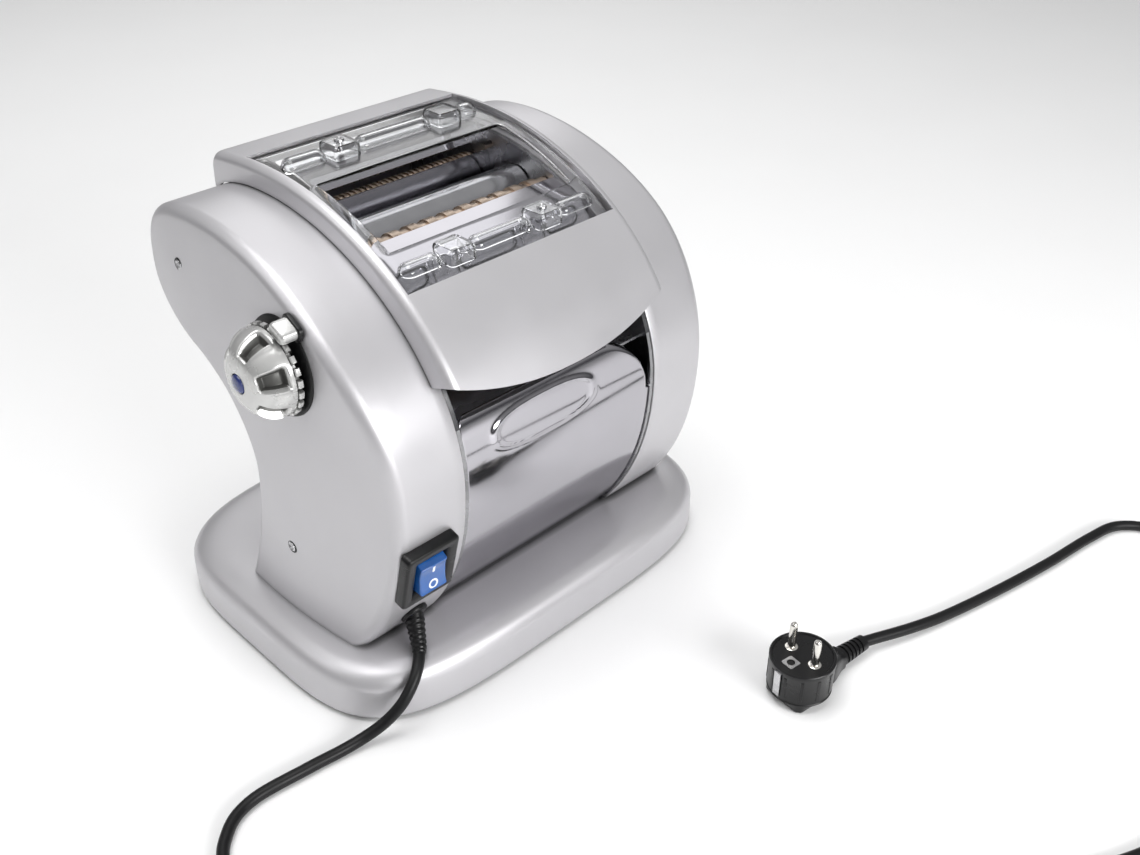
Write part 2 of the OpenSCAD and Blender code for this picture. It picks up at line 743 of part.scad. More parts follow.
module right_yoke() {
    color([0.6, 0.6, 0.62]) yoke_block(plate_out + 0.4, gear1_x[0] - 0.4, yoke_inner);
}

module yoke_bar() {
    color([0.6, 0.61, 0.63]) rod(yoke_bar_c, 3, yoke_x[0], gear1_x[0] - 0.4);
}

module cam_pin() {
    color([0.7, 0.7, 0.72]) rod(cam_pin_c, 2.5, cam_x[0] + 1.2, yoke_x[0]);
}

// Spiral groove in the cam disc: its radius shrinks as the disc turns.
function groove_r(turn, side) = cam_pin_at - gap_travel * turn / knob_turn + side * 2.8;
function groove_point(turn, side) =
    let (a = line_angle([0, 0], -slide_dir) + turn) groove_r(turn, side) * [cos(a), sin(a)];
groove_turns = [for (t = [-16:8:knob_turn + 16]) t];

module cam_disc() {
    color([0.72, 0.6, 0.3]) difference() {
        rod(knob_c, 20, cam_x[0], cam_x[1]);
        along_x(cam_x[0] + 1, cam_x[1] + 1) translate(knob_c) polygon(concat(
            [for (t = groove_turns) groove_point(t, 1)],
            reversed([for (t = groove_turns) groove_point(t, -1)])));
        rod(knob_c, 5, cam_x[0] - 1, cam_x[1] + 1);
    }
}

module knob_shaft() {
    color([0.65, 0.66, 0.68]) {
        rod(knob_c, 5, knob_back_x - 17.8, cam_x[1]);
        rod(knob_c, 8, cam_x[0] - 3, cam_x[0]);
    }
}

knob_back_x = -134.6;
knob_front_x = -158;

module knob_bush() {
    color([0.5, 0.5, 0.52]) difference() {
        union() {
            rod(knob_c, 11, knob_back_x + 1.3, -120);
            rod(knob_c, 14, -127.4, -124.4);
        }
        rod(knob_c, 5 + fit, -150, -119);
    }
}

lobes = 6;

module knob_body() {
    r = knob_d / 2;
    depth = knob_back_x - knob_front_x;
    color([0.78, 0.78, 0.79]) translate([knob_back_x, knob_c[0], knob_c[1]])
        rotate([0, -90, 0]) difference() {
        union() {
            rotate_extrude($fn = 96) polygon(concat([[0, 0], [r - 1.5, 0], [r - 1.5, 3]],
                [for (a = [0:10:90]) [7 + (r - 8) * cos(a), 4 + (depth - 4) * sin(a)]], [[0, depth]]));
            // Castellated rim.
            for (i = [0:23]) rotate([0, 0, 15 * i]) translate([r - 4, -1.8, 0]) cube([4, 3.6, 3.5]);
        }
        // Finger scoops between the lobes.
        for (i = [0:lobes - 1]) rotate([0, 0, 360 / lobes * (i + 0.5)])
            translate([r + 5, 0, 6]) cylinder(r = 9, h = 30);
        // Bore for the shaft, and the pocket of the return spring behind it.
        translate([0, 0, -1]) cylinder(r = 5 + fit, h = 19.2);
        translate([0, 0, -1]) cylinder(r = 9, h = 9);
        translate([0, 0, depth - 1.2]) cylinder(r = 6.3, h = 3);
    }
}

module knob_cap() {
    color([0.12, 0.22, 0.5]) translate([knob_front_x, knob_c[0], knob_c[1]]) rotate([0, -90, 0])
        translate([0, 0, -1.2])
            rotate_extrude() polygon([[0, 0], [6.3, 0], [6.3, 1.4], [4.5, 2.1], [0, 2.4]]);
}

module knob_spring() {
    color([0.7, 0.7, 0.72]) difference() {
        rod(knob_c, 8, knob_back_x - 7.4, knob_back_x + 1);
        rod(knob_c, 5.8, knob_back_x - 9, knob_back_x + 3);
    }
}

module index_block() {
    // Raised block that the rim of the knob is read against.
    color([0.78, 0.78, 0.79]) translate([0, knob_c[0], knob_c[1]]) rotate([28, 0, 0])
        translate([-141.5, -7, knob_d / 2 + 1.2]) cube([12.7, 14, 8]);
}

// Drive ---------------------------------------------------------------------------------------------

module motor_can() {
    color([0.3, 0.31, 0.33]) difference() {
        rod(motor_c, motor_r, -52, 58);
        rod(motor_c, motor_r - 2, -49.5, 55.5);
        rod(motor_c, 3 + fit, -60, 60);
    }
    color([0.3, 0.31, 0.33]) difference() {
        rod(motor_c, 8.5, 57.9, 66);
        rod(motor_c, 3 + fit, 57, 67);
    }
}

module motor_mount() {
    color([0.7, 0.71, 0.73]) difference() {
        union() {
            rod(motor_c, motor_r + 1, 66.1, 69.5);
            for (a = [60, 240]) rod(motor_c + 16 * [cos(a), sin(a)], 4, 69.4, plate_in);
        }
        rod(motor_c, 8.5, 60, 72);
        for (a = [60, 240]) rod(motor_c + 16 * [cos(a), sin(a)], 2, 60, 80);
    }
}

module motor_screws() {
    color([0.6, 0.6, 0.62]) for (a = [60, 240]) {
        c = motor_c + 16 * [cos(a), sin(a)];
        rod(c, 2, 58, plate_out);
        difference() {
            rod(c, 3.6, plate_out, plate_out + 2);
            translate([plate_out + 1.2, c[0] - 4, c[1] - 0.4]) cube([1, 8, 0.8]);
        }
    }
}

module motor_rotor() {
    color([0.55, 0.4, 0.3]) {
        rod(motor_c, 19, -36, 40);
        rod(motor_c, 3, -54, gear3_x[1] + 1);
    }
}

module motor_pinion() {
    color([0.72, 0.6, 0.3]) gear(motor_c, pinion_teeth, first_mod, pinion_phase, gear3_x, 3);
}

module first_reduction_gear() {
    color([0.9, 0.88, 0.82]) {
        gear(first_c, first_small_teeth, second_mod, first_small_phase, [gear2_x[0], gear3_x[0]], 4 + fit);
        gear(first_c, first_big_teeth, first_mod, first_big_phase, gear3_x, 4 + fit);
    }
}

module second_reduction_gear() {
    color([0.9, 0.88, 0.82]) {
        gear(second_c, second_small_teeth, roll_mod, second_small_phase, [gear1_x[0], gear2_x[0]], 4 + fit);
        gear(second_c, second_big_teeth, second_mod, second_big_phase, gear2_x, 4 + fit);
    }
}

module gear_studs() {
    color([0.6, 0.61, 0.63]) {
        rod(first_c, 4, plate_in, gear3_x[1] + 1.5);
        rod(first_c, 6, gear3_x[1] + 0.5, gear3_x[1] + 2);
        rod(first_c, 6, plate_out, gear2_x[0] - 0.4);
        rod(second_c, 4, plate_in, gear2_x[1] + 1.5);
        rod(second_c, 6, gear2_x[1] + 0.5, gear2_x[1] + 1.4);
        rod(second_c, 6, plate_out, gear1_x[0] - 0.4);
    }
}

// Switch and cord -----------------------------------------------------------------------------------

// The switch's own frame: +Y points into the housing, +Z up along the sloping front.
module at_switch() {
    translate([switch_x, switch_y, switch_z]) rotate([switch_tilt, 0, 0]) children();
}

module at_gland() {
    // +Z runs out of the housing along the cord.
    translate([gland_x, gland_y, gland_z]) rotate([90 + gland_tilt, 0, -gland_yaw]) children();
}

module at_gland_seat() {
    // +Z stands square on the housing.
    translate([gland_x, gland_y, gland_z]) rotate([90 + seat_tilt, 0, 0]) children();
}

module rocker_axis() {
    translate([0, 2, 0]) rotate([0, 90, 0]) children();
}

module switch_frame() {
    color([0.06, 0.06, 0.07]) {
        difference() {
            union() {
                // The rim lies on the curved front of the housing.
                difference() {
                    at_switch() translate([-18, -rim_out, -21]) cube([36, rim_out + 1.5, 42]);
                    rod(belly_c, belly_r, switch_x - 20, switch_x + 20);
                }
                at_switch() translate([-14.6, -1, -16.6]) cube([29.2, 25, 33.2]);
            }
            at_switch() translate([-9.5, -10, -13.1]) cube([19, 28, 26.2]);
        }
        at_switch() rocker_axis() cylinder(r = 2 - fit, h = 20, center = true);
    }
}

rocker_r = 12.8;
rocker_turn = 14;
key_h = 10;
key_out = 7.5;

module switch_rocker() {
    color([0.1, 0.3, 0.65]) at_switch() difference() {
        union() {
            intersection() {
                translate([-9.1, -4, -14]) cube([18.2, 13, 28]);
                rocker_axis() cylinder(r = rocker_r, h = 30, center = true);
            }
            translate([-9.1, -13, -key_h]) cube([18.2, 11, 2 * key_h]);
        }
        rocker_axis() cylinder(r = 2, h = 30, center = true);
        // The upper face is pressed in, and the lower one stands out.
        translate([-20, -20 - key_out, 0]) cube([40, 20, 30]);
        translate([-20, -key_out, 0]) rotate([-rocker_turn, 0, 0])
            translate([0, -20, -30]) cube([40, 20, 30]);
    }
}

module terminal_block() {
    color([0.9, 0.88, 0.8]) difference() {
        translate([-112, -50, base_h + 3]) cube([24, 34, 14]);
        for (y = [-44, -33, -22]) translate([-113, y, base_h + 10])
            rotate([0, 90, 0]) cylinder(r = 2.4, h = 30);
    }
}

module cord_gland() {
    color([0.07, 0.07, 0.08]) difference() {
        union() {
            at_gland_seat() translate([0, 0, -6]) cylinder(r = 6.45, h = 8);
            at_gland_seat() translate([0, 0, 0.3]) cylinder(r = 8.5, h = 2.5);
            at_gland() translate([0, 0, 1]) cylinder(r1 = 5.6, r2 = 4.6, h = gland_out - 1);
        }
        at_gland() translate([0, 0, -13]) cylinder(r = cord_d / 2, h = gland_out + 20);
    }
}

module cord_clamp() {
    color([0.85, 0.84, 0.8]) at_gland() difference() {
        translate([-9, -6, -22]) cube([18, 12, 7]);
        translate([0, 0, -23]) cylinder(r = cord_d / 2, h = 10);
    }
}

gland_dir = [-cos(gland_tilt) * sin(gland_yaw), -cos(gland_tilt) * cos(gland_yaw), -sin(gland_tilt)];
gland_tip = [gland_x, gland_y, gland_z] + gland_out * gland_dir;
cord_rest = cord_d / 2 + 0.1;
cord_route = [
    [gland_x, gland_y, gland_z] - 22 * gland_dir,
    gland_tip - 8 * gland_dir,
    gland_tip,
    [-108.5, -102, 40.2], [-115, -108.5, 36.5], [-123.5, -113, 30.5], [-133, -114, 22],
    [-143.5, -110.5, 12.5], [-155, -106, 6], [-169, -103, cord_rest], [-190, -100, cord_rest],
    [-224, -97, cord_rest], [-245, -106, cord_rest], [-259, -129, cord_rest], [-264, -190, cord_rest],
    [-263, -265, cord_rest], [-251, -338, cord_rest], [-222, -397, cord_rest], [-177, -435, cord_rest],
    [-124, -446, cord_rest], [-80, -430, cord_rest], [-46, -404, cord_rest], [-8, -397, cord_rest],
    [30, -415, cord_rest], [66, -444, cord_rest], [110, -461, cord_rest], [158, -459, cord_rest],
    [212, -441, cord_rest], [272, -415, cord_rest], [330, -390, cord_rest], [353, -370, cord_rest],
    [357, -343, cord_rest], [342, -322, cord_rest], [314, -314, cord_rest], [270, -307, cord_rest],
    [221, -297, cord_rest], [176, -286, 3.9], [146, -277, 5.6],
    at_plug_x(relief_end), at_plug_x(relief_end - 14)];

function spline(p, i, t) =
    let (n = len(p) - 1, a = p[max(i - 1, 0)], b = p[i], c = p[min(i + 1, n)], d = p[min(i + 2, n)])
    0.5 * ((2 * b) + (c - a) * t + (2 * a - 5 * b + 4 * c - d) * t * t + (3 * b - a - 3 * c + d) * t * t * t);

function route_points(p, step) = concat([for (i = [0:len(p) - 2])
    let (n = max(1, round(norm(p[i + 1] - p[i]) / step))) each [for (k = [0:n - 1]) spline(p, i, k / n)]],
    [last(p)]);

module tube(path, r, sides) {
    n = len(path);
    rings = [for (i = [0:n - 1])
        let (t = unit(path[min(i + 1, n - 1)] - path[max(i - 1, 0)]),
            side = unit(cross(t, [0, 0, 1])), up = cross(side, t))
        each [for (k = [0:sides - 1]) let (a = 360 * k / sides) path[i] + r * (cos(a) * side + sin(a) * up)]];
    faces = concat(
        [[for (k = [0:sides - 1]) k]],
        [for (i = [0:n - 2], k = [0:sides - 1]) let (a = i * sides, b = a + sides, next = (k + 1) % sides)
            [a + k, b + k, b + next, a + next]],
        [[for (k = [sides - 1:-1:0]) (n - 1) * sides + k]]);
    polyhedron(points = rings, faces = faces);
}

module power_cord() {
    color([0.05, 0.05, 0.06]) tube(route_points(cord_route, 21), cord_d / 2, 10);
}

module at_plug() {
    translate([plug_c[0], plug_c[1], 0]) rotate([0, 0, -plug_turn]) children();
}

// Angled plug lying on its back, with its pins pointing up.
plug_h = 30;
plug_r = 20;
plug_back = 15;
plug_rim = 0.8;
plug_face = plug_h - plug_rim;
drum_z = 6;
neck_x = 34;
neck_r = 6.5;
earth_x = -10;
earth_r = 2.4;

module plug_body() {
    color([0.05, 0.05, 0.06]) at_plug() difference() {
        union() {
            translate([0, 0, drum_z]) cylinder(r = plug_r, h = plug_h - drum_z);
            hull() {
                translate([0, 0, drum_z]) cylinder(r = plug_r, h = 1);
                translate([0, 0, 0.4]) linear_extrude(height = 1) square(2 * plug_back, center = true);
            }
            hull() {
                translate([0, -12, 0.4]) cube([19, 24, 21]);
                translate([neck_x, -neck_r, relief_z - neck_r]) cube([1, 2 * neck_r, 2 * neck_r]);
            }
            translate([neck_x, 0, relief_z]) rotate([0, 90, 0])
                cylinder(r1 = neck_r, r2 = 5, h = relief_end - neck_x);
        }
        translate([0, 0, plug_face]) cylinder(r = plug_r - 2.2, h = plug_rim + 1);
        translate([earth_x, 0, plug_face - 12]) cylinder(r = earth_r, h = 14);
        translate([relief_end - 20, 0, relief_z]) rotate([0, 90, 0]) cylinder(r = cord_d / 2, h = 30);
    }
}

module plug_pins() {
    color([0.8, 0.8, 0.82]) at_plug() for (y = [-9.5, 9.5]) translate([0, y, plug_face]) {
        cylinder(r = 2.4, h = 17);
        translate([0, 0, 17]) cylinder(r1 = 2.4, r2 = 1.2, h = 2);
    }
}

// Side contacts, and the plate round the hole for a socket's earth pin.
module plug_earth_clips() {
    color([0.75, 0.75, 0.77]) at_plug() {
        translate([-plug_r - 0.8, -2.5, 9]) cube([0.8, 5, plug_h - 11]);
        translate([plug_r, -2.5, 24.2]) cube([0.8, 5, plug_h - 26.2]);
        translate([earth_x, 0, plug_face]) difference() {
            translate([-4.2, -4.2, 0]) cube([8.4, 8.4, 0.5]);
            translate([0, 0, -1]) cylinder(r = earth_r, h = 3);
        }
    }
}

base_cover();
base_plate();
rubber_feet();
base_screws();
left_side_plate();
right_side_plate();
left_housing();
right_housing();
housing_screws();
front_panel();
rear_panel();
top_hood();
feed_guard();
guard_screws();
dough_guide();
inner_covers();
pasta_chute();
stripper_plates();
tie_rods();
tie_rod_nuts();
roller_bushes();
cutter_bushes();
motor_can();
motor_mount();
motor_screws();
gear_studs();
switch_frame();
terminal_block();
cord_gland();
cord_clamp();
index_block();
knob_bush();
knob_shaft();
cam_disc();
knob_body();
knob_cap();
knob_spring();
left_yoke();
right_yoke();
yoke_bar();
cam_pin();
adjustable_roller();
adjustable_roller_gear();
fixed_roller();
roller_drive_gear();
cutter_drive_gear();
wide_cutter_front();
wide_cutter_rear();
fine_cutter_front();
fine_cutter_rear();
second_reduction_gear();
first_reduction_gear();
motor_rotor();
motor_pinion();
switch_rocker();
power_cord();
plug_body();
plug_pins();
plug_earth_clips();
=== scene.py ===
import json
import math

import bmesh
import bpy
import numpy as np
from mathutils import Matrix, Vector
from mathutils.geometry import delaunay_2d_cdt


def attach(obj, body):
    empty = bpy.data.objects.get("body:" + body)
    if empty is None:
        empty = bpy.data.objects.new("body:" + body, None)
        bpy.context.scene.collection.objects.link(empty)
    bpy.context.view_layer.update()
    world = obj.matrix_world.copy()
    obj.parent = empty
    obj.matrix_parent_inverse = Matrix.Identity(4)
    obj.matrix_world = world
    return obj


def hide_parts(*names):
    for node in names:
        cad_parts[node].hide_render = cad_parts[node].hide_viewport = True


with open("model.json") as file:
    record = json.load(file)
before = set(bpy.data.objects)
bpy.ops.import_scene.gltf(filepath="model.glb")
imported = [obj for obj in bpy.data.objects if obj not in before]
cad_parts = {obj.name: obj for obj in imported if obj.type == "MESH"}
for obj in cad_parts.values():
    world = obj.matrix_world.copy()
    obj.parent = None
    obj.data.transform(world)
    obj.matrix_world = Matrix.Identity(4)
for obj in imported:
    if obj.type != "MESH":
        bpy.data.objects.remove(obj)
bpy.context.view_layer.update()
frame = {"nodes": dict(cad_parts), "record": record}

MM = 0.001

# --------------------------------------
# Outlines of the machine in millimetres, the same curves as the CAD's.

BASE_H = 36
HOUSING_X = 137
HOUSING_IN = 76.4
BELLY_C, BELLY_R = (66.3, 150.0), 180.3
DOME_C, DOME_A, DOME_B = (40.0, 150.0), 154.0, 122.0
HOOD_A, HOOD_B, HOOD_X = 172.0, 136.0, 82.0
KNOB_C = (-35.0, 214.0)
SWITCH_X, SWITCH_Z = -104.0, 104.0
SWITCH_TILT = math.asin((BELLY_C[1] - SWITCH_Z) / BELLY_R)
SWITCH_Y = BELLY_C[0] - BELLY_R * math.cos(SWITCH_TILT)
GLAND_X, GLAND_Z, GLAND_TILT, GLAND_YAW = -99.0, 54.0, math.radians(40), math.radians(30)
SEAT_TILT = math.asin((BELLY_C[1] - GLAND_Z) / BELLY_R)
GLAND_Y = BELLY_C[0] - BELLY_R * math.cos(SEAT_TILT)
PLUG_C, PLUG_TURN = (56.0, -256.0), math.radians(8)
RELIEF_END, RELIEF_Z = 56.0, 7.6


def bezier(p, t):
    p = [np.array(q, float) for q in p]
    return (1 - t) ** 3 * p[0] + 3 * (1 - t) ** 2 * t * p[1] + 3 * (1 - t) * t * t * p[2] + t ** 3 * p[3]


def curve(p, n):
    return [bezier(p, i / n) for i in range(1, n + 1)]


def oval(c, a, b, a0, a1, n):
    turns = [math.radians(a0 + (a1 - a0) * i / n) for i in range(n + 1)]
    return [np.array([c[0] + a * math.cos(t), c[1] + b * math.sin(t)]) for t in turns]


def resample(points, step):
    p = np.array(points)
    d = np.concatenate([[0], np.cumsum(np.linalg.norm(np.diff(p, axis=0), axis=1))])
    n = max(2, int(round(d[-1] / step)))
    s = np.linspace(0, d[-1], n + 1)
    return np.stack([np.interp(s, d, p[:, k]) for k in range(p.shape[1])], 1)


def smoothed(v, times):
    v = v.copy()
    for _ in range(times):
        v[1:-1] = v[1:-1] * 0.5 + (v[:-2] + v[2:]) * 0.25
    return v


def normals_2d(p):
    """Smooth normals of a line; the two at its ends are level."""
    t = np.gradient(p, axis=0)
    t = np.stack([np.convolve(np.pad(t[:, k], 2, mode="edge"), np.ones(5) / 5, "valid") for k in (0, 1)], 1)
    t /= np.linalg.norm(t, axis=1)[:, None]
    n = np.stack([t[:, 1], -t[:, 0]], 1)
    for i in (0, -1):
        n[i] = [math.copysign(1, n[i][0]), 0]
    n = smoothed(n, 8)
    return n / np.linalg.norm(n, axis=1)[:, None]


belly_turn = math.degrees(math.asin((BELLY_C[1] - BASE_H) / BELLY_R))
HOUSING_LINE = resample(
    oval(BELLY_C, BELLY_R, BELLY_R, 180 + belly_turn, 180, 40)
    + oval(DOME_C, DOME_A, DOME_B, 180, 90, 60)[1:]
    + curve([[40, 272], [86, 272], [116, 258], [115, 219]], 40)
    + curve([[115, 219], [115, 200], [88, 190], [57, 184]], 24)
    + curve([[57, 184], [26, 177], [6, 148], [6, 128]], 24)
    + curve([[6, 128], [6, 95], [22, 60], [34, BASE_H]], 24), 3.5)
HOUSING_NORMAL = normals_2d(HOUSING_LINE)


def front_y(z, d=0.0):
    if z < DOME_C[1]:
        return BELLY_C[0] - math.sqrt((BELLY_R - d) ** 2 - (z - BELLY_C[1]) ** 2)
    return DOME_C[0] - (DOME_A - d) * math.sqrt(1 - ((z - DOME_C[1]) / (DOME_B - d)) ** 2)


def dome_z(y, grow):
    return DOME_C[1] + (DOME_B + grow) * math.sqrt(1 - ((y - DOME_C[0]) / (DOME_A + grow)) ** 2)


def face_x(y, z):
    # The face is crowned from front to back, and again towards the top.
    across = y * y / 900
    up = max(0.0, z - 90) ** 2 / 3000
    return HOUSING_X - 0.3 - (across ** 3 + up ** 3) ** (1 / 3)


# --------------------------------------
# Materials. Each one is made of nodes, and its noise follows object coordinates.

EVEN = (1, 1, 1)
ALONG_X = (0.03, 1, 1)
ROUND_X = (1, 0.05, 0.05)
NOISE_LOW, NOISE_HIGH = 0.3, 0.7
# Painted shade in gaps: the colour is darkest below the first occlusion value and not darkened above the
# second; the reach is how far the occlusion looks.
SHADE_AO_FULL, SHADE_AO_NONE = 0.15, 0.75
SHADE_AO_REACH = 0.007
BUMP_HEIGHT = 0.0004
MATERIALS = {}


def material(name, color, metallic, roughness, bump, mottle, rough_noise, painted_gap_shade=0.0, **sockets):
    """bump: (scale, strength, stretch). mottle, rough_noise: (scale, amount). The gap argument after them
    paints shade into gaps and hollows: ambient occlusion darkens the colour by up to that share.
    """
    m = bpy.data.materials.new(name)
    m.use_nodes = True
    nodes = m.node_tree.nodes
    shader = nodes["Principled BSDF"]
    shader.inputs["Base Color"].default_value = (*color, 1)
    shader.inputs["Metallic"].default_value = metallic
    shader.inputs["Roughness"].default_value = roughness
    for k, v in sockets.items():
        shader.inputs[k.replace("_", " ")].default_value = v
    coord = nodes.new("ShaderNodeTexCoord")

    def link(source, output, target, socket):
        m.node_tree.links.new(source.outputs[output], target.inputs[socket])

    def noise_at(scale, stretch=EVEN, detail=3.0):
        mapping = nodes.new("ShaderNodeMapping")
        mapping.inputs["Scale"].default_value = stretch
        link(coord, "Object", mapping, "Vector")
        n = nodes.new("ShaderNodeTexNoise")
        n.inputs["Scale"].default_value = scale
        n.inputs["Detail"].default_value = detail
        link(mapping, "Vector", n, "Vector")
        return n

    if mottle:
        ramp = nodes.new("ShaderNodeValToRGB")
        for element, at, sign in zip(ramp.color_ramp.elements, (NOISE_LOW, NOISE_HIGH), (-1, 1)):
            element.position = at
            element.color = (*[min(1, max(0, c * (1 + sign * mottle[1]))) for c in color], 1)
        link(noise_at(mottle[0]), "Fac", ramp, "Fac")
        link(ramp, "Color", shader, "Base Color")
    # Painted shade: ambient occlusion darkens the base colour in gaps, creases and hollows.
    if painted_gap_shade:
        occlusion = nodes.new("ShaderNodeAmbientOcclusion")
        occlusion.inputs["Distance"].default_value = SHADE_AO_REACH
        shade = nodes.new("ShaderNodeMapRange")
        shade.inputs["From Min"].default_value = SHADE_AO_FULL
        shade.inputs["From Max"].default_value = SHADE_AO_NONE
        shade.inputs["To Min"].default_value = 1 - painted_gap_shade
        link(occlusion, "AO", shade, "Value")
        mix = nodes.new("ShaderNodeMix")
        mix.data_type = "RGBA"
        mix.blend_type = "MULTIPLY"
        mix.inputs["Factor"].default_value = 1.0
        link(ramp, "Color", mix, "A")
        link(shade, "Result", mix, "B")
        link(mix, "Result", shader, "Base Color")
    spread = nodes.new("ShaderNodeMapRange")
    spread.inputs["From Min"].default_value = NOISE_LOW
    spread.inputs["From Max"].default_value = NOISE_HIGH
    spread.inputs["To Min"].default_value = max(0.0, roughness - rough_noise[1])
    spread.inputs["To Max"].default_value = roughness + rough_noise[1]
    link(noise_at(rough_noise[0]), "Fac", spread, "Value")
    link(spread, "Result", shader, "Roughness")
    grain = nodes.new("ShaderNodeBump")
    grain.inputs["Strength"].default_value = bump[1]
    grain.inputs["Distance"].default_value = BUMP_HEIGHT
    link(noise_at(bump[0], bump[2], 2.0), "Fac", grain, "Height")
    link(grain, "Normal", shader, "Normal")
    MATERIALS[name] = m
    return m


# The housing and hood finishes have shade painted into their gaps (the last argument).
material("housing_paint", (0.56, 0.552, 0.57), 0.65, 0.42, (2600, 0.10, EVEN), (9, 0.015), (30, 0.03),
         painted_gap_shade=0.85)
material("hood_paint", (0.58, 0.572, 0.59), 0.65, 0.38, (2600, 0.08, EVEN), (9, 0.015), (30, 0.03),
         painted_gap_shade=0.85)
material("chrome_sheet", (0.47, 0.46, 0.49), 1.0, 0.10, (14, 0.05, ALONG_X), (30, 0.02), (60, 0.02))
material("frame_steel", (0.36, 0.36, 0.37), 1.0, 0.26, (1500, 0.08, ALONG_X), (60, 0.06), (80, 0.06))
material("dark_steel", (0.16, 0.16, 0.165), 0.8, 0.5, (900, 0.15, EVEN), (40, 0.15), (40, 0.1))
material("screw_steel", (0.55, 0.55, 0.56), 1.0, 0.3, (2500, 0.1, EVEN), (150, 0.1), (200, 0.08))
material("roller_steel", (0.46, 0.46, 0.48), 1.0, 0.16, (3000, 0.05, ROUND_X), (80, 0.04), (120, 0.05))
material("cutter_steel", (0.46, 0.37, 0.30), 1.0, 0.33, (2500, 0.12, EVEN), (120, 0.15), (150, 0.1))
material("gear_steel", (0.36, 0.36, 0.38), 1.0, 0.36, (1800, 0.15, EVEN), (90, 0.12), (120, 0.1))
material("gear_nylon", (0.78, 0.75, 0.66), 0.0, 0.48, (800, 0.06, EVEN), (50, 0.03), (60, 0.06),
         Subsurface_Weight=0.1, Subsurface_Radius=(0.002, 0.002, 0.001))
material("bronze", (0.55, 0.38, 0.17), 1.0, 0.38, (2600, 0.2, EVEN), (120, 0.15), (150, 0.1))
material("clear_plastic", (0.97, 0.975, 0.985), 0.0, 0.03, (35, 0.02, EVEN), None, (60, 0.02),
         Transmission_Weight=1.0, IOR=1.45)
material("black_rubber", (0.004, 0.004, 0.0045), 0.0, 0.42, (1600, 0.12, EVEN), (70, 0.15), (90, 0.06),
         Specular_IOR_Level=0.3)
material("black_plastic", (0.004, 0.004, 0.0045), 0.0, 0.30, (2200, 0.08, EVEN), (90, 0.15), (80, 0.05),
         Specular_IOR_Level=0.35)
material("blue_plastic", (0.012, 0.10, 0.36), 0.0, 0.14, (400, 0.03, EVEN), (70, 0.12), (80, 0.03),
         Coat_Weight=0.6, Coat_Roughness=0.06, Subsurface_Weight=0.2, Subsurface_Radius=(0.001, 0.002, 0.004))
# The knob's finish has shade painted into its gaps as well.
material("knob_silver", (0.60, 0.60, 0.59), 0.6, 0.25, (1800, 0.05, EVEN), (60, 0.03), (80, 0.04),
         painted_gap_shade=0.9)
# Painted shade: a dark finish for the floors of the knob's pockets.
material("knob_pocket_shade", (0.10, 0.10, 0.095), 0.5, 0.4, (1800, 0.08, EVEN), (60, 0.1), (80, 0.06))
material("ivory_plastic", (0.78, 0.76, 0.68), 0.0, 0.4, (1200, 0.06, EVEN), (80, 0.03), (80, 0.05))
material("motor_paint", (0.09, 0.09, 0.10), 0.2, 0.4, (1500, 0.15, EVEN), (60, 0.1), (70, 0.08))
material("copper_iron", (0.38, 0.22, 0.14), 1.0, 0.4, (1500, 0.3, (0.1, 1, 1)), (200, 0.3), (90, 0.1))
material("nickel", (0.74, 0.72, 0.68), 1.0, 0.15, (2400, 0.06, EVEN), (100, 0.05), (140, 0.05))
material("knob_blue", (0.020, 0.035, 0.16), 0.0, 0.22, (900, 0.04, EVEN), (120, 0.15), (100, 0.05),
         Coat_Weight=0.4, Coat_Roughness=0.1)
material("mark_white", (0.80, 0.84, 0.90), 0.0, 0.35, (900, 0.03, EVEN), (200, 0.03), (150, 0.05))

# --------------------------------------
# Mesh tools. Points are in millimetres; a skin is a pair of points and faces.


def moved(points, matrix):
    return [tuple(matrix @ Vector(p)) for p in points]


def piece(name, skin, slot, at=None, body="machine", replaces=None, sharp=32, paint=None, merge=0.002):
    """Makes a visible piece of a skin, placed by the matrix `at`."""
    points, faces = skin
    if at is not None:
        points = moved(points, at)
    mesh = bpy.data.meshes.new(name)
    mesh.from_pydata([tuple(float(c) * MM for c in p) for p in points], [], [tuple(f) for f in faces])
    bm = bmesh.new()
    bm.from_mesh(mesh)
    bmesh.ops.remove_doubles(bm, verts=bm.verts, dist=merge * MM)
    bmesh.ops.dissolve_degenerate(bm, edges=bm.edges, dist=merge * MM * 0.5)
    bmesh.ops.recalc_face_normals(bm, faces=bm.faces)
    bm.to_mesh(mesh)
    bm.free()
    obj = bpy.data.objects.new(name, mesh)
    bpy.context.scene.collection.objects.link(obj)
    mesh.shade_smooth()
    mesh.set_sharp_from_angle(angle=math.radians(sharp))
    mesh.materials.append(MATERIALS[paint or slot])
    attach(obj, body)
    if replaces:
        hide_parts(replaces)
    return obj


def thicken(obj, thickness, even=False):
    """The sheet's thickness goes inwards."""
    mod = obj.modifiers.new("sheet", "SOLIDIFY")
    mod.thickness = thickness * MM
    mod.offset = -1
    mod.use_even_offset = even


def soften(obj):
    mod = obj.modifiers.new("edge", "BEVEL")
    mod.width = 0.5 * MM
    mod.segments = 2
    mod.limit_method = "ANGLE"
    mod.angle_limit = math.radians(50)


def grid_faces(rows, cols, wrap=False):
    out = []
    for i in range(rows - 1):
        for j in range(cols if wrap else cols - 1):
            a, b = i * cols + j, i * cols + (j + 1) % cols
            out.append((a, b, b + cols, a + cols))
    return out


def bridge(one, other):
    """Faces between two closed rings of point numbers."""
    n = len(one)
    return [(one[k], one[(k + 1) % n], other[(k + 1) % n], other[k]) for k in range(n)]


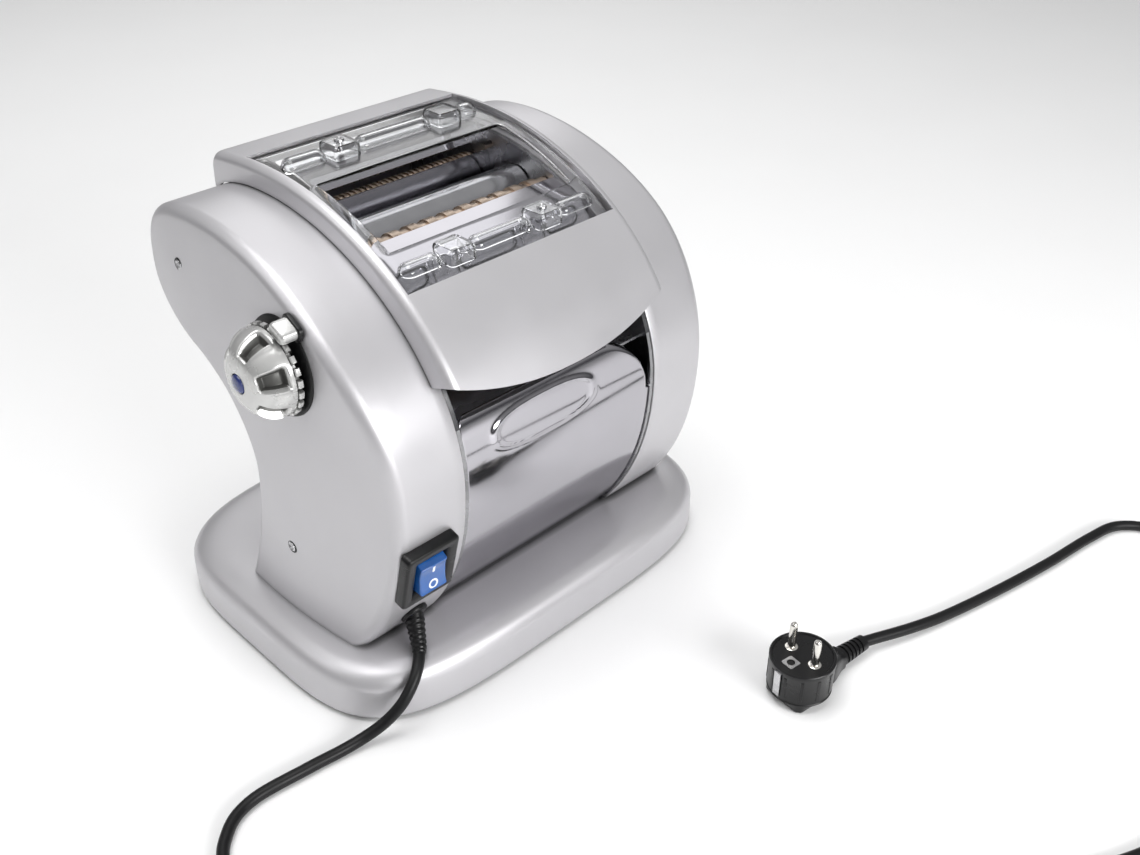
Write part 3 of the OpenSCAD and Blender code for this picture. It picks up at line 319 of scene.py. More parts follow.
def rings(loops, cap=True):
    """Joins loops of equally many points into a skin."""
    n = len(loops[0])
    faces = grid_faces(len(loops), n, wrap=True)
    if cap:
        faces.append(tuple(range(n)))
        faces.append(tuple((len(loops) - 1) * n + k for k in range(n)))
    return [p for loop in loops for p in loop], faces


def angles(n):
    return [2 * math.pi * k / n for k in range(n)]


def circle(r, z, turns):
    return [(r * math.cos(a), r * math.sin(a), z) for a in angles(turns)]


def lathe(profile, turns):
    """Spins (radius, height) points about Z."""
    return rings([circle(r, h, turns) for r, h in profile], cap=False)


def arc(cx, cy, r, start, sweep, n):
    turns = [math.radians(start + sweep * k / n) for k in range(n + 1)]
    return [(cx + r * math.cos(a), cy + r * math.sin(a)) for a in turns]


def rounded_rect(w, h, r, n=5):
    return (arc(w - r, h - r, r, 0, 90, n) + arc(-w + r, h - r, r, 90, 90, n)
            + arc(-w + r, -h + r, r, 180, 90, n) + arc(w - r, -h + r, r, 270, 90, n))


def shifted(skin, x, y, z):
    return [(a + x, b + y, c + z) for a, b, c in skin[0]], skin[1]


def joined(*parts):
    pts, faces = [], []
    for p, f in parts:
        off = len(pts)
        pts += list(p)
        faces += [tuple(i + off for i in face) for face in f]
    return pts, faces


def tube_along(path, radii, turns=24):
    """A tube of changing radius along a list of points."""
    path = [Vector(p) for p in path]
    side = None
    loops = []
    for i, p in enumerate(path):
        t = (path[min(i + 1, len(path) - 1)] - path[max(i - 1, 0)]).normalized()
        side = t.orthogonal().normalized() if side is None else (side - t * side.dot(t)).normalized()
        up = t.cross(side)
        loops.append([tuple(p + radii[i] * (math.cos(a) * side + math.sin(a) * up)) for a in angles(turns)])
    return rings(loops)


def axis_x(c, x, flip):
    """Local Z becomes X (or -X), at the shaft centre c = (y, z)."""
    turn = Matrix.Rotation(math.radians(-90 if flip else 90), 4, "Y")
    return Matrix.Translation((x, c[0], c[1])) @ turn


SWITCH_FRAME = Matrix.Translation((SWITCH_X, SWITCH_Y, SWITCH_Z)) @ Matrix.Rotation(SWITCH_TILT, 4, "X")
SEAT_FRAME = (Matrix.Translation((GLAND_X, GLAND_Y, GLAND_Z))
              @ Matrix.Rotation(math.pi / 2 + SEAT_TILT, 4, "X"))
PLUG_FRAME = Matrix.Translation((PLUG_C[0], PLUG_C[1], 0)) @ Matrix.Rotation(-PLUG_TURN, 4, "Z")

# --------------------------------------
# Camera, then the cord.

camera = bpy.data.objects.new("camera", bpy.data.cameras.new("camera"))
bpy.context.scene.collection.objects.link(camera)
bpy.context.scene.camera = camera
CAMERA_AT = (-0.412, -0.532, 0.545)
CAMERA_RIGHT = Vector((0.7096, -0.7046, 0))
CAMERA_UP = Vector((0.3932, 0.3960, 0.8298))
camera.location = CAMERA_AT
camera.matrix_world = Matrix.Translation(camera.location) @ Matrix((
    CAMERA_RIGHT.normalized(), CAMERA_UP.normalized(),
    CAMERA_RIGHT.cross(CAMERA_UP).normalized())).transposed().to_4x4()
camera.data.lens = 38.70
camera.data.sensor_width = 36
camera.data.clip_start = 0.01
camera.data.clip_end = 50

CORD_R = 3.5
CORD_REST = CORD_R + 0.1
gland_dir = Vector((-math.cos(GLAND_TILT) * math.sin(GLAND_YAW), -math.cos(GLAND_TILT) * math.cos(GLAND_YAW),
                    -math.sin(GLAND_TILT)))
gland_at = Vector((GLAND_X, GLAND_Y, GLAND_Z))
gland_tip = gland_at + 16 * gland_dir


def plug_point(x):
    return PLUG_FRAME @ Vector((x, 0, RELIEF_Z))


# The cord hangs from the gland, lies on the worktop and rises a little to the plug.
CORD_HANGS = [(-108.5, -102, 40.2), (-115, -108.5, 36.5), (-123.5, -113, 30.5), (-133, -114, 22),
              (-143.5, -110.5, 12.5), (-155, -106, 6)]
CORD_LIES = [(-169, -103), (-190, -100), (-224, -97), (-245, -106), (-259, -129), (-264, -190), (-263, -265),
             (-251, -338), (-222, -397), (-177, -435), (-124, -446), (-80, -430), (-46, -404), (-8, -397),
             (30, -415), (66, -444), (110, -461), (158, -459), (212, -441), (272, -415), (330, -390),
             (353, -370), (357, -343), (342, -322), (314, -314), (270, -307), (221, -297)]
CORD_RISES = [(176, -286, 3.9), (146, -277, 5.6)]
CORD_ROUTE = [gland_at - 10 * gland_dir, gland_tip - 8 * gland_dir, gland_tip, *CORD_HANGS,
              *[(x, y, CORD_REST) for x, y in CORD_LIES], *CORD_RISES,
              plug_point(RELIEF_END), plug_point(RELIEF_END - 14)]


def spline(points, step):
    p = [Vector(q) for q in points]
    out = []
    for i in range(len(p) - 1):
        a, b, c, d = p[max(i - 1, 0)], p[i], p[i + 1], p[min(i + 2, len(p) - 1)]
        n = max(2, round((c - b).length / step))
        for k in range(n):
            t = k / n
            out.append(0.5 * ((2 * b) + (c - a) * t + (2 * a - 5 * b + 4 * c - d) * t * t
                              + (3 * b - a - 3 * c + d) * t * t * t))
    return out + [p[-1]]


cord_line = spline(CORD_ROUTE, 3)
cord_data = bpy.data.curves.new("power_cord_flex", "CURVE")
cord_data.dimensions = "3D"
cord_data.bevel_depth = CORD_R * MM
cord_data.bevel_resolution = 6
cord_data.use_fill_caps = True
line = cord_data.splines.new("POLY")
line.points.add(len(cord_line) - 1)
for point, p in zip(line.points, cord_line):
    point.co = (p.x * MM, p.y * MM, p.z * MM, 1)
cord = bpy.data.objects.new("power_cord_flex", cord_data)
bpy.context.scene.collection.objects.link(cord)
cord_data.materials.append(MATERIALS["black_rubber"])
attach(cord, "machine")
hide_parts("power_cord")

# --------------------------------------
# Base: a rounded slab with a soft shoulder.

BASE_HALF = (158, 120)
BASE_POWER = 2 / 0.465


def superellipse(a, b, n=160):
    def grow(v):
        return math.copysign(abs(v) ** (2 / BASE_POWER), v)

    dense = [2 * math.pi * i / 4000 for i in range(4001)]
    p = np.array([(a * grow(math.cos(t)), b * grow(math.sin(t))) for t in dense])
    d = np.concatenate([[0], np.cumsum(np.linalg.norm(np.diff(p, axis=0), axis=1))])
    s = np.linspace(0, d[-1], n + 1)[:-1]
    return [(float(np.interp(q, d, p[:, 0])), float(np.interp(q, d, p[:, 1]))) for q in s]


def make_base():
    # (inset, height) of the outer and the inner skin.
    shoulder = [(1.4, 2), (0.3, 3.6), (0, 6), (0, 21), (0.9, 27), (4.2, 32), (9.5, 34.9), (17, 35.9),
                (28, 36)]
    outer = [(q.x, q.y) for q in spline([(*p, 0) for p in shoulder], 1.6)]
    inner = [(28, 33), (18, 32.6), (11, 30), (5, 23), (3, 14), (3, 3), (2.2, 2)]
    loops = [[(x, y, z) for x, y in superellipse(BASE_HALF[0] - i, BASE_HALF[1] - i)]
             for i, z in outer + inner]
    pts, faces = rings(loops, cap=False)
    n = len(loops[0])
    at = len(outer)
    faces = [f for k, f in enumerate(faces) if k // n != at - 1]
    # Close the top outside and inside with shrinking rings, so that the shading stays even.
    for edge, z in ((at - 1, 36), (at, 33)):
        previous = [edge * n + k for k in range(n)]
        for share in (0.8, 0.5, 0.2):
            start = len(pts)
            pts += [(x * share, y * share, z) for x, y, _ in loops[edge]]
            ring = [start + k for k in range(n)]
            faces += bridge(previous, ring)
            previous = ring
        faces.append(tuple(previous))
    # The underside of the rim joins the two skins.
    last = (len(loops) - 1) * n
    faces += bridge(range(n), range(last, last + n))
    piece("base_shell", (pts, faces), "housing_paint", replaces="base_cover", sharp=60)


make_base()

# --------------------------------------
# Side housings: pillow shaped, with a wide soft edge.

SOFT_EDGE = 7.0
EDGE_STEPS = 12
REAR_X, REAR_TOP = 73.2, 258.0
FRONT_POINTS = 60
HOUSING_FOOT = BASE_H + 0.15
FILL_STEP_Y, FILL_STEP_Z, FILL_CLEAR = 5, 4.4, 3.2


def make_housing(side):
    n = len(HOUSING_LINE)
    loops = []

    def ring(inset, x_of):
        q = HOUSING_LINE + inset * HOUSING_NORMAL
        q[:, 1] = np.maximum(q[:, 1], HOUSING_FOOT)
        loops.append([(side * x_of(p), p[0], p[1]) for p in q])

    ring(3.0, lambda p: HOUSING_IN + 0.2)
    ring(1.2, lambda p: HOUSING_IN)
    ring(0.35, lambda p: HOUSING_IN + 0.25)
    ring(0.1, lambda p: HOUSING_IN + 0.9)
    for share in (0.15, 0.4, 0.7):
        ring(0.1, lambda p: HOUSING_IN + 0.9 + share * (face_x(*p) - SOFT_EDGE - HOUSING_IN - 0.9))
    for k in range(EDGE_STEPS + 1):
        t = math.pi / 2 * (1 - k / EDGE_STEPS)
        ring(0.1 + SOFT_EDGE * (1 - math.sin(t)), lambda p: face_x(*p) - SOFT_EDGE * (1 - math.cos(t)))
    pts = [p for loop in loops for p in loop]
    faces = grid_faces(len(loops), n)
    # The face: points on a fine grid inside the last ring, joined by triangles.
    edge = [(p[1], p[2]) for p in loops[-1]]
    a, b = edge[-1], edge[0]
    gap = int(abs(a[0] - b[0]) // FILL_STEP_Y)
    border = edge + [(a[0] + (b[0] - a[0]) * k / gap, HOUSING_FOOT) for k in range(1, gap)]
    bpts = np.array(border)

    def inside(y, z):
        y0, z0, y1, z1 = bpts[:, 0], bpts[:, 1], np.roll(bpts[:, 0], -1), np.roll(bpts[:, 1], -1)
        hit = ((z0 > z) != (z1 > z)) & (y < (y1 - y0) * (z - z0) / (z1 - z0 + 1e-12) + y0)
        return hit.sum() % 2 == 1 and np.min(np.hypot(bpts[:, 0] - y, bpts[:, 1] - z)) > FILL_CLEAR

    fill = []
    row = 0
    z = BASE_H + 5
    while z < 275:
        y = -120 + (FILL_STEP_Y / 2 if row % 2 else 0)
        while y < 120:
            if inside(y, z):
                fill.append((y, z))
            y += FILL_STEP_Y
        z += FILL_STEP_Z
        row += 1
    verts = [Vector(p) for p in border + fill]
    ring_edges = [(k, (k + 1) % len(border)) for k in range(len(border))]
    out, _, tris, *_ = delaunay_2d_cdt(verts, ring_edges, [], 1, 1e-4)
    off = len(pts)
    pts += [(side * face_x(p[0], p[1]), p[0], p[1]) for p in out]
    faces += [tuple(off + i for i in f) for f in tris]
    name = "left" if side < 0 else "right"
    piece(name + "_housing_shell", (pts, faces), "housing_paint", replaces=name + "_housing", sharp=40,
          merge=0.05)


make_housing(-1)
make_housing(1)


def make_rear_sheet():
    """The sheet that closes the back between the housings follows their outline, a little inside it."""
    loops = []
    for i, p in enumerate(HOUSING_LINE):
        # Only the back of the outline: past the top, behind the middle and below the hood.
        if i <= FRONT_POINTS or p[0] <= 0 or p[1] >= REAR_TOP:
            continue
        loop = []
        for inset, half in ((2.0, REAR_X), (3.5, -REAR_X)):
            y, z = p + inset * HOUSING_NORMAL[i]
            loop += [(x, y, max(z, HOUSING_FOOT)) for x in np.linspace(-half, half, 7)]
        loops.append(loop)
    piece("rear_sheet", rings(loops), "housing_paint", replaces="rear_panel", sharp=50)


make_rear_sheet()

SCREW_R, SCREW_SUNK, SCREW_TURNS = 3.1, 0.4, 48


def cross_cut(p, reach, width, depth):
    """Depth of a cross recess at a point of a screw head."""
    cut = min(abs(p[0]), abs(p[1]))
    return depth * max(0.0, 1 - cut / width) if math.hypot(p[0], p[1]) < reach else 0


def crosshead(name, c, side):
    """A pan head with a cross recess, on the crowned face at shaft centre c."""
    r = SCREW_R
    profile = [(0.01, 0.25), (r * 0.35, 0.6), (r * 0.75, 1.0), (r * 0.95, 0.7), (r, 0.2), (r, -0.8)]
    pts, faces = lathe(profile, SCREW_TURNS)
    shaped = [(p[0], p[1], p[2] - cross_cut(p, 0.62 * r, 0.22 * r, 0.9)) for p in pts]
    m = axis_x(c, side * (face_x(*c) - SCREW_SUNK), flip=side < 0)
    # Painted shade: a black ring round the head stands in for the shade in the rim of its recess.
    rim = [(r * 0.9, 0.1), (r + 0.2, 0.5), (r + 0.7, 0.65), (r + 1.0, 0.4), (r + 1.0, -0.6)]
    piece(name + "_recess_shade", lathe(rim, SCREW_TURNS), "black_rubber", at=m, sharp=40)
    piece(name, (shaped, faces), "screw_steel", at=m, replaces="housing_screws", sharp=30)


for side, tag in ((-1, "left"), (1, "right")):
    for k, c in enumerate(((66.0, 236.0), (-24.0, 88.0))):
        crosshead(f"{tag}_face_screw_{k + 1}", c, side)

# --------------------------------------
# Hood: one pressed sheet with a feed opening, a drooping front lip and short side skirts.

OPEN_Y = (-76.0, 65.0)
OPEN_X = 77.0
LIP_Z, LIP_RISE = 197.0, 15.0
HOOD_CORNER = 5.0
SEAT_A, SEAT_B = DOME_A + 0.7, DOME_B + 0.7
LIP_ROWS, DOME_ROWS, FLAT_COLUMNS = 22, 34, 16


def dome_point(turn, a, b):
    t = math.radians(turn)
    return np.array([DOME_C[0] + a * math.cos(t), DOME_C[1] + b * math.sin(t)])


open_turn = 180 - math.degrees(math.acos((DOME_C[0] - OPEN_Y[0]) / HOOD_A))


def hood_columns():
    """(x, depth, share of the skirt) across: skirt, rounded corner, flat, skirt."""
    corner = HOOD_CORNER
    half = [(HOOD_X, None, s) for s in (1.0, 0.66, 0.33)]
    for k in range(7):
        t = math.pi / 2 * k / 6
        half.append((HOOD_X - corner + corner * math.cos(t), corner - corner * math.sin(t), 0))
    flat = [OPEN_X - 0.6 - k * (OPEN_X - 0.6) / FLAT_COLUMNS for k in range(FLAT_COLUMNS + 1)]
    half += [(x, 0, 0) for x in flat if x < HOOD_X - corner - 0.1]
    return half + [(-c[0], *c[1:]) for c in reversed(half) if c[0] > 1e-6]


def make_hood():
    corner = HOOD_CORNER
    cross = hood_columns()
    rear = [np.array(p) for p in curve([[40, 286], [60, 286.5], [75, 284], [90, 282.5]], 8)]
    rear_seat = [np.array(p) for p in curve([[40, 272.7], [86, 272.7], [116.7, 258], [115.7, 219]], 40)]
    arc6 = [np.array(p) for p in arc(90, 276.5, 6, 70, -60, 3)]
    tail = arc6 + [np.array([96.6, 272]), np.array([97.4, 267]), np.array([98, 262.5])]

    def seat_at(y):
        return min(rear_seat, key=lambda q: abs(q[0] - y))

    # Each row: its kind, and where it is.
    rows = [("front", k / LIP_ROWS) for k in range(LIP_ROWS + 1)]
    rows += [("oval", open_turn + (90 - open_turn) * k / DOME_ROWS) for k in range(1, DOME_ROWS + 1)]
    rows += [("path", q, seat_at(q[0])) for q in rear]
    for q in tail:
        s = seat_at(min(q[0], 95.5))
        rows.append(("path", q, np.array([min(q[0] - 1.6, s[0] + 1.0), min(s[1], q[1] - 0.5)])))
    pts, index = [], []
    for r in rows:
        ids = []
        for x, depth, skirt in cross:
            if r[0] == "path":
                o, s = r[1], r[2]
            else:
                turn = r[1]
                if r[0] == "front":
                    lip = LIP_Z + LIP_RISE * (abs(x) / HOOD_X) ** 2.2
                    lip_turn = 180 - math.degrees(math.asin((lip - DOME_C[1]) / HOOD_B))
                    turn = lip_turn + (open_turn - lip_turn) * r[1]
                o, s = dome_point(turn, HOOD_A, HOOD_B), dome_point(turn, SEAT_A, SEAT_B)
            inward = s - o
            length = max(np.linalg.norm(inward), 1e-6)
            d = skirt * (length - corner) + corner if depth is None else depth
            d = min(d, length)
            q = o + inward / length * d
            ids.append(len(pts))
            pts.append((x, q[0], q[1]))
        index.append(ids)
    faces = []
    for i in range(len(index) - 1):
        for j in range(len(cross) - 1):
            quad = (index[i][j], index[i][j + 1], index[i + 1][j + 1], index[i + 1][j])
            mid = np.mean([pts[q] for q in quad], axis=0)
            if abs(mid[0]) < OPEN_X - 0.5 and OPEN_Y[0] < mid[1] < OPEN_Y[1]:
                continue
            faces.append(quad)
    hood = piece("hood_shell", (pts, faces), "hood_paint", replaces="top_hood", sharp=180, merge=0.01)
    thicken(hood, 1.8, even=True)
    soften(hood)
    hood.modifiers.new("normals", "WEIGHTED_NORMAL").keep_sharp = True


make_hood()


def make_edge_shadow():
    """A black tube between the front edge of the feed opening and the sheet under it: painted shadow in the
    gap there.
    """
    y, half = OPEN_Y[0] - 0.2, 70.0
    z = dome_z(y, 12.5)
    path = [(x, y + 1.2, z - 1.0) for x in np.linspace(-half, half, 29)]
    piece("feed_edge_shadow", tube_along(path, [1.1] * len(path), 12), "black_rubber", sharp=60)


make_edge_shadow()

# --------------------------------------
# Front panel: polished sheet with a curled top edge, rounded corners and a plain oval boss.

PANEL_X, PANEL_CORNER, PANEL_NICK, PANEL_TOP = 73.2, 40.0, 6.0, 185.2
PANEL_CURL = 3.0
BADGE = (-13.0, 166.0, 38.0, 11.5)


def badge_height(x, s):
    """A raised oval rim with a slightly raised, plain field."""
    u, v = (x - BADGE[0]) / BADGE[2], (s - BADGE[1]) / BADGE[3]
    r = (abs(u) ** 2.6 + abs(v) ** 2.6) ** (1 / 2.6)
    rim = math.exp(-((r - 1.0) / 0.075) ** 2)
    field = 1 / (1 + math.exp((r - 0.9) * 30))
    return 0.9 * rim + 0.35 * field


def make_panel():
    nx, nz = 150, 170
    z0 = BASE_H + 0.2
    pts = []
    for i in range(nz + 1):
        for j in range(nx + 1):
            s = z0 + (PANEL_TOP - z0) * i / nz
            ends = []
            for corner in (PANEL_NICK, PANEL_CORNER):
                over = max(s - (PANEL_TOP - corner), 0)
                ends.append(PANEL_X - corner + math.sqrt(corner ** 2 - over ** 2))
            x = -ends[0] + (ends[0] + ends[1]) * j / nx
            # Distance to the rounded top edge drives the curl.
            edge = PANEL_TOP - s
            if x > PANEL_X - PANEL_CORNER and over > 0:
                edge = PANEL_CORNER - math.hypot(x - (PANEL_X - PANEL_CORNER), over)
            roll = PANEL_CURL * max(0.0, 1 - max(edge, 0) / PANEL_CURL) ** 2
            y = front_y(min(s, 184), 2.0) - badge_height(x, s) + roll
            pts.append((x, y, s))
    panel = piece("front_sheet", (pts, grid_faces(nz + 1, nx + 1)), "chrome_sheet", replaces="front_panel",
                  sharp=180, merge=0.001)
    thicken(panel, 1.2)


make_panel()

# --------------------------------------
# Thickness knob: a dome with six carved pockets over a castellated rim.

KNOB_BACK, KNOB_FRONT, KNOB_R = -134.6, -157.6, 26.5
KNOB_DEPTH = KNOB_BACK - KNOB_FRONT
KNOB_RIM_H = 4.2
KNOB_TOP_R = 6.0
POCKETS_TURN, POCKET_DEPTH = 12, 6.6
RIM_TEETH, RIM_NOTCH = 24, 3.4


def smooth_step(e0, e1, x):
    t = min(1.0, max(0.0, (x - e0) / (e1 - e0)))
    return t * t * (3 - 2 * t)


def knob_skin_r(cosine):
    """Radius of the plain dome where its profile's angle has this cosine."""
    return KNOB_TOP_R + (KNOB_R - KNOB_TOP_R - 1.6) * cosine ** 0.85


def make_knob():
    turns, steps = 216, 60
    loops = [circle(r, h, turns) for r, h in [(17.5, 3.6), (24.2, 3.6), (24.9, 3.9)]]
    for i in range(steps + 1):
        share = i / steps
        t = math.pi / 2 * i / steps
        r, h = knob_skin_r(math.cos(t)), KNOB_RIM_H + (KNOB_DEPTH - KNOB_RIM_H) * math.sin(t)
        loop = []
        for k in range(turns):
            a = 360 * k / turns
            near = (a + 30 + POCKETS_TURN) % 60 - 30
            # A pocket is steep on one side and runs out on the other.
            wide = smooth_step(-16, -13.5, near) * (1 - smooth_step(8, 15, near))
            along = smooth_step(0.06, 0.16, share) * (1 - smooth_step(0.56, 0.72, share))
            dip = POCKET_DEPTH * wide * along
            ridge = 0.9 * math.exp(-((near + 17) / 3.0) ** 2) * along
            rr, hh = r - dip * math.cos(share * 1.2) + ridge, h - dip * math.sin(share * 1.2) * 0.7
            loop.append((rr * math.cos(math.radians(a)), rr * math.sin(math.radians(a)), hh))
        loops.append(loop)
    loops += [circle(r, h + dh, turns) for r, dh in ((5.9, 0.0), (5.6, -0.4), (5.6, -1.4))]
    m = axis_x(KNOB_C, KNOB_BACK, flip=True)
    dome = piece("knob_dome", rings(loops), "knob_silver", at=m, body="knob", replaces="knob_body", sharp=50)
    # Painted shade: the floors of the pockets take a dark material that stands in for the shade in these deep
    # hollows.
    dome.data.materials.append(MATERIALS["knob_pocket_shade"])
    for face in dome.data.polygons:
        c = face.center / MM
        y, z, h = c.y - KNOB_C[0], c.z - KNOB_C[1], KNOB_BACK - c.x
        share = math.asin(min(1.0, max(0.0, (h - KNOB_RIM_H) / (KNOB_DEPTH - KNOB_RIM_H))))
        if h > 5 and knob_skin_r(max(math.cos(share), 0.0)) - math.hypot(y, z) > 2.4:
            face.material_index = 1

    # The rim, with square notches.
    loops = []
    for r_in, h in ((18.0, 0.4), (24.0, 0.4), (25.9, 0.4), (26.4, 0.9), (26.4, 3.0), (25.9, 3.5),
                    (18.0, 3.6)):
        loop = []
        for k, a in enumerate(angles(turns * 2)):
            tooth = (k * RIM_TEETH / (turns * 2)) % 1.0
            notch = RIM_NOTCH * smooth_step(0.56, 0.60, tooth) * (1 - smooth_step(0.94, 0.98, tooth))
            r = max(r_in - (notch if r_in > 20 else 0), 18.0)
            loop.append((r * math.cos(a), r * math.sin(a), h))
        loops.append(loop)
    piece("knob_rim", rings(loops + loops[:1], cap=False), "knob_silver", at=m, body="knob", sharp=40)

    cap = lathe([(0.01, 1.5), (2.5, 1.42), (4.2, 1.1), (5.1, 0.5), (5.4, -0.2), (5.4, -1.3)], 48)
    piece("knob_button", cap, "blue_plastic", at=axis_x(KNOB_C, KNOB_FRONT, flip=True), body="knob",
          replaces="knob_cap", paint="knob_blue")


make_knob()


def soft_box(w, d, h, r, top_in, n=6):
    """A block with rounded corners that stands on z = 0 and has a softened top."""
    return rings([[(x, y, z) for x, y in rounded_rect(w - i, d - i, max(r - i, 0.3), n)]
                  for i, z in ((0, 0), (0, h - top_in * 1.5), (top_in * 0.15, h - top_in * 0.8),
                               (top_in * 0.5, h - top_in * 0.25), (top_in * 1.1, h))])


def make_knob_shadow_ring():
    """A black ring that follows the crowned face under the knob's rim: painted shadow for the dark gap round
    the knob.
    """
    loops = []
    for r, lift in ((16.0, -0.4), (16.0, 1.2), (27.4, 1.2), (28.0, 0.7), (28.2, -0.4)):
        ring = [(KNOB_C[0] + r * math.cos(a), KNOB_C[1] + r * math.sin(a)) for a in angles(96)]
        loops.append([(-min(face_x(y, z) + lift, 134.3), y, z) for y, z in ring])
    piece("knob_shadow_ring", rings(loops, cap=False), "black_rubber", sharp=40)


make_knob_shadow_ring()


INDEX_TURN, INDEX_OUT, INDEX_X = math.radians(28), 27.7 + 4.2, -129.3


def make_index_block():
    # Local z is out of the face; the block sits a little round from the top of the knob.
    y, z = KNOB_C[0] - INDEX_OUT * math.sin(INDEX_TURN), KNOB_C[1] + INDEX_OUT * math.cos(INDEX_TURN)
    m = (Matrix.Translation((INDEX_X, y, z)) @ Matrix.Rotation(INDEX_TURN, 4, "X")
         @ Matrix.Rotation(math.radians(-90), 4, "Y") @ Matrix.Rotation(math.radians(90), 4, "Z"))
    piece("index_tab", soft_box(6.6, 3.8, 11.6, 3.2, 1.4), "knob_silver", at=m, replaces="index_block",
          sharp=50)
    # A thin black pad under it, where it meets the crowned face; it stands out wider than the block as a
    # painted shadow, a dark outline round it.
    piece("index_seat_and_shadow", soft_box(8.0, 5.0, 2.4, 3.6, 0.5), "black_plastic", at=m, sharp=50)


make_index_block()

# --------------------------------------
# Switch: a deep bevelled bezel and a rocker with the usual bar and ring.

ROCKER_TILT = math.radians(14)
ROCKER_OUT, ROCKER_HALF, ROCKER_LIP = -7.5, 10.0, 0.9
PIVOT_OUT, PIVOT_R = 2, 12.6


def bezel_y(z, lift):
    """Height over the curved housing front, as a depth in the switch's own frame."""
    return -lift + (BELLY_R - math.sqrt(BELLY_R ** 2 - z * z))


def rocker_section():
    """(depth, height): two flats that meet in a ridge, with a slight hollow in the upper one."""
    out, half, lip = ROCKER_OUT, ROCKER_HALF, ROCKER_LIP
    top, foot = (out + lip, half - lip), (out - 1.8, -half + lip)
    section = arc(PIVOT_OUT, 0, PIVOT_R, 90, 29, 4) + arc(*top, lip, 90, 90, 4)
    section += [(out + 0.5 * math.sin(math.pi * k / 8), top[1] * (1 - k / 8)) for k in range(1, 9)]
    section += [(out + foot[1] * k / 8 * math.tan(ROCKER_TILT) + 0.35 * math.sin(math.pi * k / 8),
                 foot[1] * k / 8) for k in range(1, 8)]
    section += arc(*foot, lip, 194, 76, 4) + arc(PIVOT_OUT, 0, PIVOT_R, 241, 29, 4)
    return section + [(8.5, -10.8), (8.5, 10.8)]


def make_switch():
    # (half width, half height, corner, lift, follows the housing's curve)
    spec = [(18, 21, 3.0, 0.1, True), (18, 21, 3.0, 4.4, False), (17.7, 20.7, 2.9, 5.3, False),
            (16.9, 19.9, 2.6, 5.9, False), (16.2, 19.2, 2.3, 6.0, False), (12.6, 16.0, 1.6, 5.9, False),
            (11.8, 15.2, 1.4, 5.4, False), (10.3, 13.9, 1.0, 3.2, False), (9.5, 13.1, 0.8, 1.6, False),
            (9.5, 13.1, 0.8, -14, False)]
    loops = [[(x, bezel_y(z, lift) if follow else -lift, z) for x, z in rounded_rect(w, h, r)]
             for w, h, r, lift, follow in spec]
    piece("switch_bezel", rings(loops, cap=False), "black_plastic", at=SWITCH_FRAME, replaces="switch_frame",
          sharp=38)
    back = [[(x, depth, z) for x, z in rounded_rect(14.4, 16.4, 1, 4)] for depth in (13.8, 1.5)]
    piece("switch_case", rings(back), "black_plastic", at=SWITCH_FRAME, sharp=38)

    half_section = ((9.1, 0.9), (8.95, 0.45), (8.6, 0.14), (8.1, 0.0))
    widths = [(-x, shrink) for x, shrink in half_section] + list(reversed(half_section))
    loops = [[(x, y + shrink * (1 if y < 2 else -1), z * (1 - shrink / 14)) for y, z in rocker_section()]
             for x, shrink in widths]
    piece("rocker_key", rings(loops), "blue_plastic", at=SWITCH_FRAME, body="switch_rocker",
          replaces="switch_rocker", sharp=35)
    # Bar above, ring below.
    bar = [(x, ROCKER_OUT + 0.15, z) for x, z in rounded_rect(0.75, 2.7, 0.4, 4)]
    bar = rings([[(x, y + d, z + 6.2) for x, y, z in bar] for d in (0.9, 0.15, 0.05)])
    tilt = (Matrix.Translation((0, ROCKER_OUT, 0)) @ Matrix.Rotation(-ROCKER_TILT, 4, "X")
            @ Matrix.Translation((0, 0.3, -5.6)))
    loops = []
    for a in angles(40):
        tube = [(2.6 + 0.65 * math.cos(b), 0.2 * math.sin(b) - 0.05) for b in angles(8)]
        loops.append([(r * math.cos(a), y, r * math.sin(a)) for r, y in tube])
    ring, ring_faces = rings(loops + loops[:1], cap=False)
    marks = joined(bar, (moved(ring, tilt), ring_faces))
    piece("rocker_marks", marks, "blue_plastic", at=SWITCH_FRAME, body="switch_rocker", paint="mark_white")


make_switch()

# --------------------------------------
# Cord gland: a collar on the housing and a ribbed strain relief that bends with the cord.


RELIEF_LONG = 25


def make_gland():
    collar = [(6.3, -5.5), (6.3, 0.0), (8.6, 0.1), (8.6, 1.6), (8.2, 2.3), (7.2, 2.8), (5.4, 2.9), (3.4, 2.9)]
    piece("gland_collar", lathe(collar, 64), "black_plastic", at=SEAT_FRAME, replaces="cord_gland", sharp=40)
    path, radii = [], []
    seen = 0.0
    walk = spline([gland_at + 1.5 * gland_dir, gland_tip, *CORD_ROUTE[3:6]], 0.5)
    for k, p in enumerate(walk):
        if k:
            seen += (p - walk[k - 1]).length
        if seen > RELIEF_LONG:
            break
        rib = 0.45 if (seen % 3.2) < 1.9 and 3 < seen < 23.5 else 0.0
        path.append(p)
        radii.append(6.3 - 2.3 * seen / RELIEF_LONG + rib - 0.45)
    piece("strain_relief", tube_along(path, radii, 32), "black_plastic", sharp=60)


make_gland()

# --------------------------------------
# Plug: an angled two-pin plug with side contacts, lying on its back.

PLUG_H, PLUG_FACE, PLUG_BACK, PIN_SPREAD, EARTH_X = 30.0, 29.2, 14.8, 9.5, -10
PLUG_CORNER = 1.29
PLUG_TURNS = 96
RELIEF_START = 33


def square_reach(x, y, half, corner):
    """How far a square goes in a direction; its corners are cut at the distance `corner`."""
    return min(half / max(abs(x), 1e-6), half / max(abs(y), 1e-6), corner)


